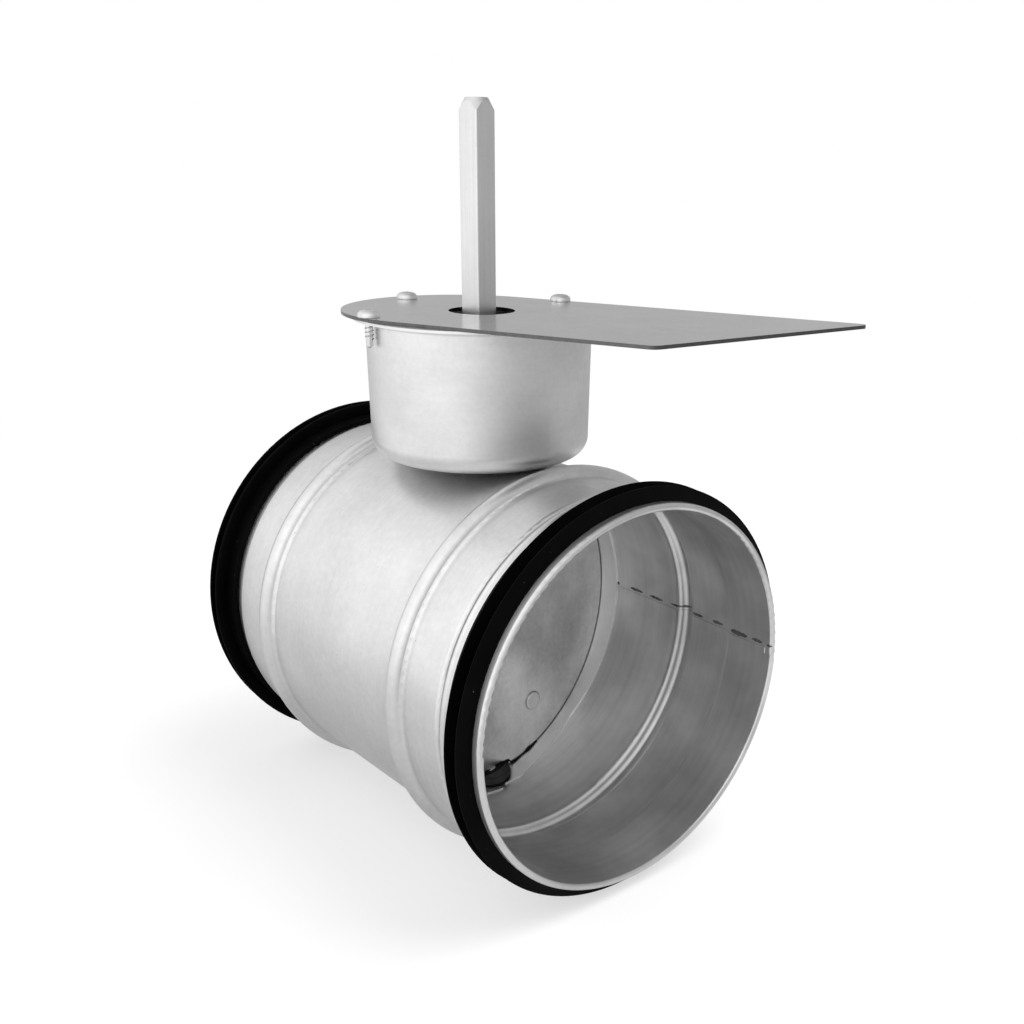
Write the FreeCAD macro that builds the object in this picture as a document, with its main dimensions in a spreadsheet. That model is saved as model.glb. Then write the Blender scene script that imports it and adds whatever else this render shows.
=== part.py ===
"""Airtight shut-off damper for round ducts: a tube with rubber gaskets at both ends, a blade on a square
shaft, and a drawn cup on top that carries the actuator plate clear of the insulation.

The tube lies along X and the shaft along Z, and they cross at the origin. Millimetres and degrees.
The blade is stored closed. It opens by turning about +Z.
"""

import FreeCAD, Part

import math
import os
import re

import Sketcher

SIZES = {
    # Tube
    "ductRadius": 62.1,
    "ductWall": 0.6,
    "ductHalfLength": 82.0,
    "beadPlace": 40.0,
    "beadHalfWidth": 4.5,
    "beadHeight": 3.1,
    "beadCrest": 0.68,
    "stepPlace": 60.4,
    "stepRun": 2.4,
    "stepDrop": 1.5,
    "hemStand": 1.7,
    "hemReturn": 2.0,
    "seamRise": 0.25,
    "seamWidth": 2.2,
    # Gaskets on the spigots
    "gasketFit": 0.05,
    "gasketFoot": 1.6,
    "gasketLength": 12.8,
    "gasketHeel": 0.85,
    "lipStand": 6.2,
    "innerLipStand": 5.9,
    "lipThickness": 1.1,
    "lipLean": 1.15,
    "lipPitch": 4.9,
    # Sealing strips inside the tube
    "stripThickness": 0.4,
    "stripFit": 0.05,
    "stripFront": 3.5,
    "stripTaper": 38.0,
    "stripEnd": 9.8,
    "stripEndSide": 10.0,
    "stripBack": 12.0,
    "stripBushGap": 0.5,
    # Cup
    "cupTopRadius": 36.4,
    "cupTaper": 0.6,
    "cupHeight": 45.0,
    "cupWall": 0.8,
    "cupCorner": 6.0,
    "cupLift": 0.6,
    "flangeWidth": 4.0,
    "flangeBend": 1.4,
    "padFit": 0.05,
    "padHalfLength": 27.0,
    "padHalfWidth": 12.0,
    # Actuator plate
    "plateThickness": 1.1,
    "plateTurn": 22.8,
    "plateNearInset": 2.9,
    "plateBackInset": 2.1,
    "plateRoundPlace": 7.6,
    "plateNearReach": 77.0,
    "plateTipReach": 117.6,
    "plateNearCorner": 4.0,
    "plateTipCorner": 2.0,
    "plateHolePlace": 1.0,
    "plateHoleRadius": 10.7,
    # Screws that hold the plate
    "screwOffset": 1.8,
    "nearScrewTurn": -98.0,
    "leftScrewTurn": -176.2,
    "farScrewTurn": 96.7,
    "screwRadius": 1.45,
    "screwLength": 9.5,
    "screwTip": 2.6,
    "screwTipRadius": 1.15,
    "screwHeadRadius": 3.5,
    "screwHeadHeight": 2.3,
    "screwHeadRim": 0.6,
    "screwFit": 0.05,
    # Rivets between cup and tube
    "cupRivetPlace": 22.0,
    "cupRivetRadius": 2.0,
    "cupRivetHeadRadius": 3.4,
    "cupRivetHeadHeight": 1.2,
    "cupRivetTailRadius": 2.9,
    "cupRivetTailHeight": 1.8,
    "rivetFit": 0.05,
    # Shaft
    "shaftSide": 8.0,
    "shaftStand": 63.2,
    "shaftEdge": 0.6,
    "shaftTopRadius": 3.5,
    "shaftTopCone": 4.0,
    "tongueReach": 2.4,
    "shoulderGap": 0.1,
    # Sleeve that turns in the upper bush
    "sleeveRadius": 6.9,
    "sleeveFit": 0.05,
    "sleeveRise": 4.0,
    "collarRadius": 8.6,
    "collarThickness": 1.4,
    "collarGap": 0.3,
    "clipRadius": 9.4,
    "clipThickness": 1.2,
    "clipDepth": 0.6,
    "clipGap": 0.3,
    "clipFit": 0.05,
    "clipMouth": 9.0,
    # Upper bush
    "bushRunning": 0.05,
    "upperBarrelRadius": 10.4,
    "upperFlangeRadius": 12.0,
    "upperFlangeThickness": 2.5,
    "upperBarrelRise": 9.9,
    "bushRound": 1.0,
    "bushHoleFit": 0.1,
    "bushGasket": 1.0,
    "bushGasketFit": 0.05,
    "nutAcross": 30.0,
    "nutHeight": 4.0,
    "nutFit": 0.05,
    "oRingSection": 1.0,
    "oRingDrop": 3.0,
    "oRingFit": 0.05,
    "oRingGrooveGap": 0.1,
    # Lower bush and pivot
    "pivotRadius": 3.9,
    "pivotLength": 6.6,
    "lowerBarrelRadius": 6.5,
    "lowerFlangeRadius": 9.5,
    "lowerFlangeThickness": 3.5,
    "lowerBushFloor": 0.9,
    "pivotEndGap": 0.1,
    "lowerRingRadius": 10.5,
    "lowerRingThickness": 1.2,
    "lowerRingGap": 0.1,
    # Blade
    "tilt": 7.0,
    "bladeFront": 2.5,
    "discThickness": 1.0,
    "sealThickness": 2.0,
    "sealGap": 0.35,
    "discInset": 0.5,
    "notchEndGap": 0.5,
    "discNotchGap": 0.7,
    "sealNotchGap": 0.4,
    "notchCorner": 0.6,
    "bladeRivetSide": 22.6,
    "bladeRivetInset": 23.3,
    "bladeRivetRadius": 2.0,
    "bladeRivetHeadRadius": 3.65,
    "bladeRivetHeadHeight": 0.9,
    "bladeRivetHeadBevel": 0.7,
    "bladeRivetTailRadius": 3.0,
    "bladeRivetTailHeight": 1.2,
    # Brackets that clamp the shaft and the pivot to the blade
    "bracketSheet": 1.5,
    "bracketFit": 0.05,
    "bracketEnd": 6.5,
    "bracketHalfHeight": 8.0,
    "bracketBend": 0.8,
}

# Heights and radii worked out from the sizes
DUCT_INSIDE = "(ductRadius - ductWall)"
SPIGOT_RADIUS = "(ductRadius - stepDrop)"
HEM_RADIUS = f"({SPIGOT_RADIUS} + hemStand)"
HEM_FOLD = "((hemStand + ductWall) / 2)"
LIP_RADIUS = f"({SPIGOT_RADIUS} + lipStand)"
INNER_LIP_RADIUS = f"({SPIGOT_RADIUS} + innerLipStand)"
CUP_BOTTOM_RADIUS = "(cupTopRadius - cupTaper)"
CUP_FLOOR = "(ductRadius + cupLift)"
CUP_FLOOR_TOP = f"({CUP_FLOOR} + cupWall)"
FLANGE_RADIUS = "(cupTopRadius + flangeWidth)"
FLANGE_TOP = f"({CUP_FLOOR} + cupHeight)"
PLATE_TOP = f"({FLANGE_TOP} + plateThickness)"
SCREW_CIRCLE = "(cupTopRadius + screwOffset)"
SHAFT_HALF = "(shaftSide / 2)"
SHAFT_TOP = f"({PLATE_TOP} + shaftStand)"
UPPER_FLANGE_FACE = f"({DUCT_INSIDE} - upperFlangeThickness)"
UPPER_BARREL_TOP = "(ductRadius + upperBarrelRise)"
O_RING_PLACE = f"({UPPER_BARREL_TOP} - oRingDrop)"
CLIP_BOTTOM = f"({UPPER_BARREL_TOP} + clipGap)"
COLLAR_TOP = f"({UPPER_FLANGE_FACE} - collarGap)"
COLLAR_BOTTOM = f"({COLLAR_TOP} - collarThickness)"
UPPER_NOTCH = f"({COLLAR_BOTTOM} - notchEndGap)"
LOWER_FLANGE_FACE = f"({DUCT_INSIDE} - lowerFlangeThickness)"
LOWER_NOTCH = f"({LOWER_FLANGE_FACE} - notchEndGap)"
PIVOT_SHOULDER = f"({LOWER_NOTCH} + shoulderGap)"
PIVOT_END = f"({PIVOT_SHOULDER} + pivotLength)"
BLADE_RADIUS = f"({DUCT_INSIDE} - stripFit - stripThickness - sealGap)"
BLADE_BACK = "(bladeFront - 2 * discThickness - sealThickness)"
BLADE_MIDDLE = "(bladeFront - discThickness - sealThickness / 2)"
BLADE_RIVET_HEIGHT = f"({BLADE_RADIUS} - bladeRivetInset)"
BRACKET_HALF_LENGTH = "(bladeRivetSide + bracketEnd)"
TONGUE_BOTTOM = f"({BLADE_RIVET_HEIGHT} - bracketHalfHeight - tongueReach)"
RIVET_PLACES = [(side, height) for side in ("", "-") for height in ("", "-")]

doc = FreeCAD.newDocument("ShutOffDamper")
sheet = doc.addObject("Spreadsheet::Sheet", "Sizes")
for row, (alias, number) in enumerate(SIZES.items(), start=1):
    sheet.set(f"A{row}", alias)
    sheet.set(f"B{row}", str(number))
    sheet.setAlias(f"B{row}", alias)
doc.recompute()

nodes = []


def bound(expression):
    """The expression with the sheet's name before each size."""
    return re.sub(r"\b([a-z]+[A-Z]\w*|tilt)\b", r"Sizes.\1", expression)


def number_of(expression):
    found = sheet.evalExpression(bound(expression))
    return float(getattr(found, "Value", found))


def node(thing, name):
    """Marks a finished sub-part. Its label names its file."""
    thing.Label = name
    nodes.append(thing)
    return thing


def new_body(name):
    return doc.addObject("PartDesign::Body", name)


def new_sketch(body, name, role, offset=None):
    sketch = body.newObject("Sketcher::SketchObject", name)
    plane = next(found for found in body.Origin.OriginFeatures if found.Role == role)
    sketch.AttachmentSupport = (plane, [""])
    sketch.MapMode = "FlatFace"
    if offset:
        sketch.setExpression("AttachmentOffset.Base.z", bound(offset))
    return sketch


def pin_point(sketch, shape, end, x, y):
    """Ties one point of the sketch to its two expressions. A coordinate of 0 puts it on the axis."""
    for text, kind, axis in ((x, "DistanceX", -2), (y, "DistanceY", -1)):
        if text == "0":
            sketch.addConstraint(Sketcher.Constraint("PointOnObject", shape, end, axis))
        else:
            tie = sketch.addConstraint(Sketcher.Constraint(kind, -1, 1, shape, end, number_of(text)))
            sketch.setExpression(f"Constraints[{tie}]", bound(text))


def arc_between(start, end, turn, radius):
    """The short arc from start to end, and which of its ends is the start. Arcs run counter-clockwise."""
    chord = end - start
    half = chord.Length / 2
    rise = radius - math.sqrt(max(radius * radius - half * half, 0.0))
    outward = FreeCAD.Vector(chord.y, -chord.x, 0).normalize()
    if turn == "right":
        outward = outward * -1
    middle = (start + end) * 0.5 + outward * rise
    if turn == "left":
        return Part.Arc(start, middle, end), 1, 2
    return Part.Arc(end, middle, start), 2, 1


def draw_outline(sketch, corners):
    """Closed outline. A corner is (x, y), or (x, y, turn, radius) where an arc ends there."""
    points = [FreeCAD.Vector(number_of(corner[0]), number_of(corner[1]), 0) for corner in corners]
    edges = []
    for place, corner in enumerate(corners):
        start, end = points[place - 1], points[place]
        if len(corner) == 2:
            edges.append((sketch.addGeometry(Part.LineSegment(start, end)), 1, 2))
        else:
            arc, first, last = arc_between(start, end, corner[2], number_of(corner[3]))
            edges.append((sketch.addGeometry(arc), first, last))
    for place, corner in enumerate(corners):
        shape, first, last = edges[place]
        before, _, before_last = edges[place - 1]
        sketch.addConstraint(Sketcher.Constraint("Coincident", before, before_last, shape, first))
        pin_point(sketch, shape, last, corner[0], corner[1])
        if len(corner) > 2:
            tie = sketch.addConstraint(Sketcher.Constraint("Radius", shape, number_of(corner[3])))
            sketch.setExpression(f"Constraints[{tie}]", bound(corner[3]))


def draw_circle(sketch, x, y, radius):
    centre = FreeCAD.Vector(number_of(x), number_of(y), 0)
    shape = sketch.addGeometry(Part.Circle(centre, FreeCAD.Vector(0, 0, 1), number_of(radius)))
    pin_point(sketch, shape, 3, x, y)
    tie = sketch.addConstraint(Sketcher.Constraint("Radius", shape, number_of(radius)))
    sketch.setExpression(f"Constraints[{tie}]", bound(radius))


def draw_box(sketch, low_x, low_y, high_x, high_y):
    draw_outline(sketch, [(low_x, low_y), (high_x, low_y), (high_x, high_y), (low_x, high_y)])


def draw_ellipse(sketch, centre_x, half_width, half_height):
    """Ellipse with its centre on the sketch's horizontal axis and its long axis along it."""
    centre = FreeCAD.Vector(number_of(centre_x), 0, 0)
    shape = sketch.addGeometry(Part.Ellipse(centre, number_of(half_width), number_of(half_height)))
    sketch.exposeInternalGeometry(shape)
    pin_point(sketch, shape, 3, centre_x, "0")
    sketch.addConstraint(Sketcher.Constraint("Horizontal", shape + 1))
    for line, half in ((shape + 1, half_width), (shape + 2, half_height)):
        tie = sketch.addConstraint(Sketcher.Constraint("Distance", line, 2 * number_of(half)))
        sketch.setExpression(f"Constraints[{tie}]", bound(f"2 * {half}"))


def add_feature(body, kind, sketch, **settings):
    feature = body.newObject(f"PartDesign::{kind}", f"{body.Name}_{kind}")
    feature.Profile = sketch
    for name, setting in settings.items():
        setattr(feature, name, setting)
    return feature


def revolve(body, sketch, axis, angle=360.0, **settings):
    feature = add_feature(body, "Revolution", sketch, ReferenceAxis=(sketch, [axis]), **settings)
    if isinstance(angle, str):
        feature.setExpression("Angle", bound(angle))
    else:
        feature.Angle = angle
    return feature


def pad(body, sketch, length):
    feature = add_feature(body, "Pad", sketch)
    feature.setExpression("Length", bound(length))
    return feature


def cut_away(body, kind, sketch, gone, **settings):
    """A pocket or groove. The point that it must clear is named, because one that misses shows no error."""
    doc.recompute()
    before = body.Shape.Volume
    feature = add_feature(body, kind, sketch, **settings)
    if kind == "Pocket" and "Type" not in settings:
        feature.Type = "ThroughAll"
    doc.recompute()
    if body.Shape.Volume >= before or body.Shape.isInside(FreeCAD.Vector(*gone), 0.001, False):
        raise RuntimeError(f"{feature.Name} removes nothing where it should")
    return feature


def round_edges(body, radius, wanted):
    """Fillets the edges whose middle point passes the test."""
    doc.recompute()
    base = body.Tip
    names = []
    for place, edge in enumerate(base.Shape.Edges, start=1):
        middle = edge.valueAt((edge.FirstParameter + edge.LastParameter) / 2)
        if wanted(middle, edge):
            names.append(f"Edge{place}")
    if not names:
        raise RuntimeError(f"{body.Name} has no edge to round")
    fillet = body.newObject("PartDesign::Fillet", f"{body.Name}_Fillet")
    fillet.Base = (base, names)
    fillet.setExpression("Radius", bound(radius))
    doc.recompute()
    return fillet


def upright(edge):
    return abs(edge.tangentAt(edge.FirstParameter).z) > 0.99


def near(first, second):
    return abs(first - second) < 0.05


def cylinder(name, radius, height, base="0", along_duct=False):
    """A cylinder on the Z axis from its base up, or centred on the duct's axis."""
    made = doc.addObject("Part::Cylinder", name)
    made.setExpression("Radius", bound(radius))
    made.setExpression("Height", bound(height))
    if along_duct:
        turned = FreeCAD.Rotation(FreeCAD.Vector(0, 1, 0), 90)
        made.Placement = FreeCAD.Placement(FreeCAD.Vector(0, 0, 0), turned)
        made.setExpression("Placement.Base.x", bound(f"-({height}) / 2"))
    elif base != "0":
        made.setExpression("Placement.Base.z", bound(base))
    return made


def boolean(kind, name, base, tool):
    made = doc.addObject(f"Part::{kind}", name)
    made.Base = base
    made.Tool = tool
    return made


def group(name, members):
    made = doc.addObject("Part::Compound", name)
    made.Links = members
    return node(made, name)


def turn_with_blade(thing, forward=None, side=None, height=None):
    """Places a piece in the blade's own frame, which is turned about the shaft."""
    thing.Placement = FreeCAD.Placement(
        FreeCAD.Vector(0, 0, 0), FreeCAD.Rotation(FreeCAD.Vector(0, 0, 1), SIZES["tilt"])
    )
    thing.setExpression("Placement.Rotation.Angle", bound("tilt * 1 deg"))
    if side:
        thing.setExpression("Placement.Base.x", bound(f"-({side}) * sin(tilt * 1 deg)"))
        thing.setExpression("Placement.Base.y", bound(f"({side}) * cos(tilt * 1 deg)"))
    if height:
        thing.setExpression("Placement.Base.z", bound(height))


# Tube


def s_bend(start_x, end_x, start_radius, end_radius, rise, falling, depth, crest="0.5"):
    """Two arcs that carry the sheet from one radius to another, at a depth below its outside. Crest is the
    share of the bend that the arc at the larger radius takes."""
    run = f"({end_x} - ({start_x}))"
    bend = f"(({run} ^ 2 + {rise} ^ 2) / (2 * {rise}))"
    first = f"({crest})" if falling else f"(1 - {crest})"
    shift = "-" if falling else "+"
    middle_x = f"({start_x}) + {first} * {run} {shift} {depth} * {run} / {bend}"
    middle_radius = (
        f"{start_radius} + {first} * ({end_radius} - {start_radius}) - {depth} * (1 - {rise} / {bend})"
    )
    turns = (("right", "left"), ("left", "right"))[not falling]
    radii = {"left": f"(1 - {crest}) * {bend} + {depth}", "right": f"{crest} * {bend} - {depth}"}
    return [
        (start_x, f"{start_radius} - {depth}"),
        (middle_x, middle_radius, turns[0], radii[turns[0]]),
        (end_x, f"{end_radius} - {depth}", turns[1], radii[turns[1]]),
    ]


def wall_surface(depth, first_x, last_x):
    """The sheet's surface from first_x towards the rim, over the bead and down the step."""
    crest = "(ductRadius + beadHeight)"
    bead = "beadPlace - beadHalfWidth", "beadPlace", "beadPlace + beadHalfWidth"
    up = s_bend(bead[0], bead[1], "ductRadius", crest, "beadHeight", False, depth, "beadCrest")
    down = s_bend(bead[1], bead[2], crest, "ductRadius", "beadHeight", True, depth, "beadCrest")
    fall = s_bend("stepPlace", "(stepPlace + stepRun)", "ductRadius", SPIGOT_RADIUS, "stepDrop", True, depth)
    crest_free = up[:2] + [down[1][:2] + up[2][2:]] + down[2:]
    return [(first_x, f"ductRadius - {depth}"), *crest_free, *fall, (last_x, f"{SPIGOT_RADIUS} - {depth}")]


def walked_back(corners):
    """The same corners from last to first, with each arc's turn swapped."""
    flipped = {"left": "right", "right": "left"}
    back = [corners[-1][:2]]
    for place in range(len(corners) - 1, 0, -1):
        here, target = corners[place], corners[place - 1]
        bend = (flipped[here[2]], here[3]) if len(here) > 2 else ()
        back.append(target[:2] + bend)
    return back


def mirrored_in_x(corners):
    flipped = {"left": "right", "right": "left"}
    return [
        (f"-({corner[0]})", corner[1]) + ((flipped[corner[2]], corner[3]) if len(corner) > 2 else ())
        for corner in corners
    ]


def make_duct_body():
    body = new_body("duct_body")
    fold_start = f"(ductHalfLength - {HEM_FOLD})"
    fold_middle = f"({SPIGOT_RADIUS} - ductWall + {HEM_FOLD})"
    inner = wall_surface("ductWall", "0", fold_start)
    outer = wall_surface("0", "0", fold_start)
    hem = [
        ("ductHalfLength", fold_middle, "left", HEM_FOLD),
        (fold_start, HEM_RADIUS, "left", HEM_FOLD),
        (f"{fold_start} - hemReturn", HEM_RADIUS),
        (f"{fold_start} - hemReturn", f"{HEM_RADIUS} - ductWall"),
        (fold_start, f"{HEM_RADIUS} - ductWall"),
        ("ductHalfLength - ductWall", fold_middle, "right", f"{HEM_FOLD} - ductWall"),
        (fold_start, SPIGOT_RADIUS, "right", f"{HEM_FOLD} - ductWall"),
    ]
    profile = new_sketch(body, "WallProfile", "XZ_Plane")
    draw_outline(profile, inner + hem + walked_back(outer)[1:])
    half = revolve(body, profile, "H_Axis")
    doc.recompute()
    mirror = body.newObject("PartDesign::Mirrored", "BothEnds")
    mirror.Originals = [half]
    plane = next(found for found in body.Origin.OriginFeatures if found.Role == "YZ_Plane")
    mirror.MirrorPlane = (plane, [""])
    body.Tip = mirror
    doc.recompute()
    seam_sides = ((False, "stripFront + stripBushGap"), (True, "stripBack + stripBushGap"))
    for backwards, start in seam_sides:
        ends = start, f"{fold_start} - hemReturn"
        low = wall_surface("(ductWall + seamRise)", *ends)
        strip = low + walked_back(wall_surface("(ductWall / 2)", *ends))
        seam = new_sketch(body, "SeamProfile", "XY_Plane")
        draw_outline(seam, mirrored_in_x(strip) if backwards else strip)
        revolve(body, seam, "H_Axis", f"seamWidth / {DUCT_INSIDE} * 1 rad", Midplane=True)
    wall_middle = SIZES["ductRadius"] - SIZES["ductWall"] / 2
    for barrel, upwards in (("upperBarrelRadius", True), ("lowerBarrelRadius", False)):
        hole = new_sketch(body, "BushHole", "XY_Plane")
        draw_circle(hole, "0", "0", f"{barrel} + bushHoleFit")
        gone = (0, 0, wall_middle if upwards else -wall_middle)
        cut_away(body, "Pocket", hole, gone, Reversed=upwards)
    holes = new_sketch(body, "RivetHoles", "XY_Plane")
    for place in ("cupRivetPlace", "-cupRivetPlace"):
        draw_circle(holes, place, "0", "cupRivetRadius + rivetFit")
    cut_away(body, "Pocket", holes, (SIZES["cupRivetPlace"], 0, wall_middle), Reversed=True)
    node(body, "duct_body")


def make_gasket(name, backwards):
    """Rubber ring with two lips that lean away from the rim. The folded hem keeps it on the spigot."""
    body = new_body(name)
    front = f"(ductHalfLength - {HEM_FOLD} - hemReturn - gasketFit)"
    inside = f"({SPIGOT_RADIUS} + gasketFit)"
    top = f"({inside} + gasketFoot)"
    corners = [
        (f"{front} - gasketLength", inside),
        (front, inside),
        (front, f"{top} - gasketFoot / 2"),
        (f"{front} - gasketFoot / 2", top, "left", "gasketFoot / 2"),
    ]
    for pitches, tip in (("0", INNER_LIP_RADIUS), ("1", LIP_RADIUS)):
        root = f"({front} - gasketHeel - {pitches} * lipPitch)"
        corners += [
            (root, top),
            (f"{root} - lipLean", tip, "right", f"3 * ({tip} - {top})"),
            (f"{root} - lipLean - lipThickness / 2", f"{tip} - lipThickness / 2", "left", "lipThickness / 2"),
            (f"{root} - lipThickness", top, "left", f"3 * ({tip} - {top}) + lipThickness"),
        ]
    corners.append((f"{front} - gasketLength", top))
    profile = new_sketch(body, "GasketProfile", "XZ_Plane")
    draw_outline(profile, mirrored_in_x(corners) if backwards else corners)
    revolve(body, profile, "H_Axis")
    node(body, name)


def make_seat_strips():
    """Two thin half rings on the wall that the blade's seal closes on. They widen towards the bushes and stop
    short of them."""
    halves = []
    for name, turn in (("StripRight", 0), ("StripLeft", 180)):
        body = new_body(name)
        outside = f"{DUCT_INSIDE} - stripFit"
        section = new_sketch(body, f"{name}Section", "XY_Plane")
        draw_box(section, "-stripBack", f"{outside} - stripThickness", "stripEnd", outside)
        revolve(body, section, "H_Axis", 179.0, Midplane=True)
        edge = new_body(f"{name}Edge")
        taper = new_sketch(edge, f"{name}Taper", "XY_Plane", offset="-ductRadius")
        draw_outline(
            taper,
            [
                ("stripFront", "ductRadius"),
                ("stripFront", "stripTaper"),
                ("stripEnd", "stripEndSide"),
                ("2 * stripEnd", "stripEndSide"),
                ("2 * stripEnd", "ductRadius"),
            ],
        )
        pad(edge, taper, "2 * ductRadius")
        for half in (body, edge):
            half.Placement = FreeCAD.Placement(FreeCAD.Vector(), FreeCAD.Rotation(turn, 0, 0))
        top = cylinder(f"{name}Top", "upperFlangeRadius + stripBushGap", "ductRadius")
        foot = cylinder(
            f"{name}Foot", "lowerFlangeRadius + stripBushGap", "ductRadius", base="-ductRadius"
        )
        tapered = boolean("Cut", f"{name}Tapered", body, edge)
        halves.append(boolean("Cut", f"{name}Cut", boolean("Cut", f"{name}Upper", tapered, top), foot))
    group("seat_strips", halves)


# Cup and actuator plate


def screw_place(angle, turned_by="0"):
    turned = f"(({angle} - {turned_by}) * 1 deg)"
    return f"{SCREW_CIRCLE} * cos{turned}", f"{SCREW_CIRCLE} * sin{turned}"


SCREW_TURNS = "nearScrewTurn", "leftScrewTurn", "farScrewTurn"


def make_spacer_cup():
    body = new_body("spacer_cup")
    corner_top = f"({CUP_FLOOR} + cupCorner)"
    bend_start = f"({FLANGE_TOP} - cupWall - flangeBend)"
    hole = "(upperBarrelRadius + bushHoleFit)"
    profile = new_sketch(body, "CupProfile", "XZ_Plane")
    draw_outline(
        profile,
        [
            (hole, CUP_FLOOR),
            (f"{CUP_BOTTOM_RADIUS} - cupCorner", CUP_FLOOR),
            (CUP_BOTTOM_RADIUS, corner_top, "left", "cupCorner"),
            ("cupTopRadius", bend_start),
            ("cupTopRadius + flangeBend", f"{FLANGE_TOP} - cupWall", "right", "flangeBend"),
            (FLANGE_RADIUS, f"{FLANGE_TOP} - cupWall"),
            (FLANGE_RADIUS, FLANGE_TOP),
            ("cupTopRadius + flangeBend", FLANGE_TOP),
            ("cupTopRadius - cupWall", bend_start, "left", "flangeBend + cupWall"),
            (f"{CUP_BOTTOM_RADIUS} - cupWall", corner_top),
            (f"{CUP_BOTTOM_RADIUS} - cupCorner", CUP_FLOOR_TOP, "right", "cupCorner - cupWall"),
            (hole, CUP_FLOOR_TOP),
        ],
    )
    revolve(body, profile, "V_Axis")
    screw_holes = new_sketch(body, "FlangeHoles", "XY_Plane", offset=FLANGE_TOP)
    for angle in SCREW_TURNS:
        draw_circle(screw_holes, *screw_place(angle), "screwRadius + screwFit")
    spot = [number_of(text) for text in screw_place(SCREW_TURNS[0])]
    through = cut_away(
        body,
        "Pocket",
        screw_holes,
        (*spot, number_of(f"{FLANGE_TOP} - cupWall / 2")),
        Type="Length",
        Length=number_of("2 * cupWall + flangeBend"),
    )
    through.setExpression("Length", bound("2 * cupWall + flangeBend"))
    rivet_holes = new_sketch(body, "FloorHoles", "XY_Plane", offset=CUP_FLOOR_TOP)
    for place in ("cupRivetPlace", "-cupRivetPlace"):
        draw_circle(rivet_holes, place, "0", "cupRivetRadius + rivetFit")
    floor_middle = number_of(f"{CUP_FLOOR} + cupWall / 2")
    cut_away(body, "Pocket", rivet_holes, (SIZES["cupRivetPlace"], 0, floor_middle))
    node(body, "spacer_cup")


def make_cup_seat_pad():
    """Foam pad between the tube's crown and the cup's flat floor."""
    body = new_body("PadBlank")
    top = f"({CUP_FLOOR} - padFit)"
    thickness = f"({top} - ductRadius + padHalfWidth ^ 2 / ductRadius)"
    shape = new_sketch(body, "PadOutline", "XY_Plane", offset=f"{top} - {thickness}")
    straight = "(padHalfLength - padHalfWidth)"
    draw_outline(
        shape,
        [
            (straight, "-padHalfWidth"),
            ("padHalfLength", "0", "left", "padHalfWidth"),
            (straight, "padHalfWidth", "left", "padHalfWidth"),
            (f"-{straight}", "padHalfWidth"),
            ("-padHalfLength", "0", "left", "padHalfWidth"),
            (f"-{straight}", "-padHalfWidth", "left", "padHalfWidth"),
        ],
    )
    draw_circle(shape, "0", "0", "upperBarrelRadius + bushHoleFit")
    for place in ("cupRivetPlace", "-cupRivetPlace"):
        draw_circle(shape, place, "0", "cupRivetRadius + rivetFit")
    pad(body, shape, thickness)
    tube = cylinder("PadTube", "ductRadius + padFit", "4 * padHalfLength", along_duct=True)
    node(boolean("Cut", "cup_seat_pad", body, tube), "cup_seat_pad")


def make_cup_rivets():
    rivets = []
    for name, place in (("CupRivetFront", "cupRivetPlace"), ("CupRivetRear", "-cupRivetPlace")):
        body = new_body(name)
        profile = new_sketch(body, f"{name}Profile", "XZ_Plane")
        tail_top = f"({DUCT_INSIDE} - rivetFit * 2)"
        tail_dome = "(cupRivetTailHeight / 2)"
        head_dome = "cupRivetHeadHeight"
        draw_outline(
            profile,
            [
                ("0", f"{tail_top} - cupRivetTailHeight"),
                ("cupRivetTailRadius - cupRivetTailHeight / 2", f"{tail_top} - cupRivetTailHeight"),
                ("cupRivetTailRadius", f"{tail_top} - {tail_dome}", "left", tail_dome),
                ("cupRivetTailRadius", tail_top),
                ("cupRivetRadius", tail_top),
                ("cupRivetRadius", CUP_FLOOR_TOP),
                ("cupRivetHeadRadius", CUP_FLOOR_TOP),
                (
                    "0",
                    f"{CUP_FLOOR_TOP} + {head_dome}",
                    "left",
                    f"(cupRivetHeadRadius ^ 2 + {head_dome} ^ 2) / (2 * {head_dome})",
                ),
            ],
        )
        revolve(body, profile, "V_Axis")
        body.setExpression("Placement.Base.x", bound(place))
        rivets.append(body)
    group("cup_rivets", rivets)


def make_actuator_plate():
    """Flat tongue that reaches past the cup to carry the actuator. One end is round, the other cut askew."""
    body = new_body("actuator_plate")
    near_edge = f"({FLANGE_RADIUS} - plateNearInset)"
    back_edge = f"({FLANGE_RADIUS} - plateBackInset)"
    round_radius = f"(({near_edge} + {back_edge}) / 2)"
    middle = f"(({back_edge} - {near_edge}) / 2)"
    shape = new_sketch(body, "PlateOutline", "XY_Plane")
    draw_outline(
        shape,
        [
            ("plateNearReach", f"-{near_edge}"),
            ("plateTipReach", back_edge),
            ("-plateRoundPlace", back_edge),
            (f"-plateRoundPlace - {round_radius}", middle, "left", round_radius),
            ("-plateRoundPlace", f"-{near_edge}", "left", round_radius),
        ],
    )
    draw_circle(shape, "plateHolePlace", "0", "plateHoleRadius")
    for angle in SCREW_TURNS:
        draw_circle(shape, *screw_place(angle, "plateTurn"), "screwRadius + screwFit")
    pad(body, shape, "plateThickness")
    for reach, radius in (("plateNearReach", "plateNearCorner"), ("plateTipReach", "plateTipCorner")):
        round_edges(body, radius, lambda p, e, x=number_of(reach): upright(e) and near(p.x, x))
    body.Placement = FreeCAD.Placement(
        FreeCAD.Vector(0, 0, 0), FreeCAD.Rotation(FreeCAD.Vector(0, 0, 1), SIZES["plateTurn"])
    )
    body.setExpression("Placement.Rotation.Angle", bound("plateTurn * 1 deg"))
    body.setExpression("Placement.Base.z", bound(FLANGE_TOP))
    node(body, "actuator_plate")


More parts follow.
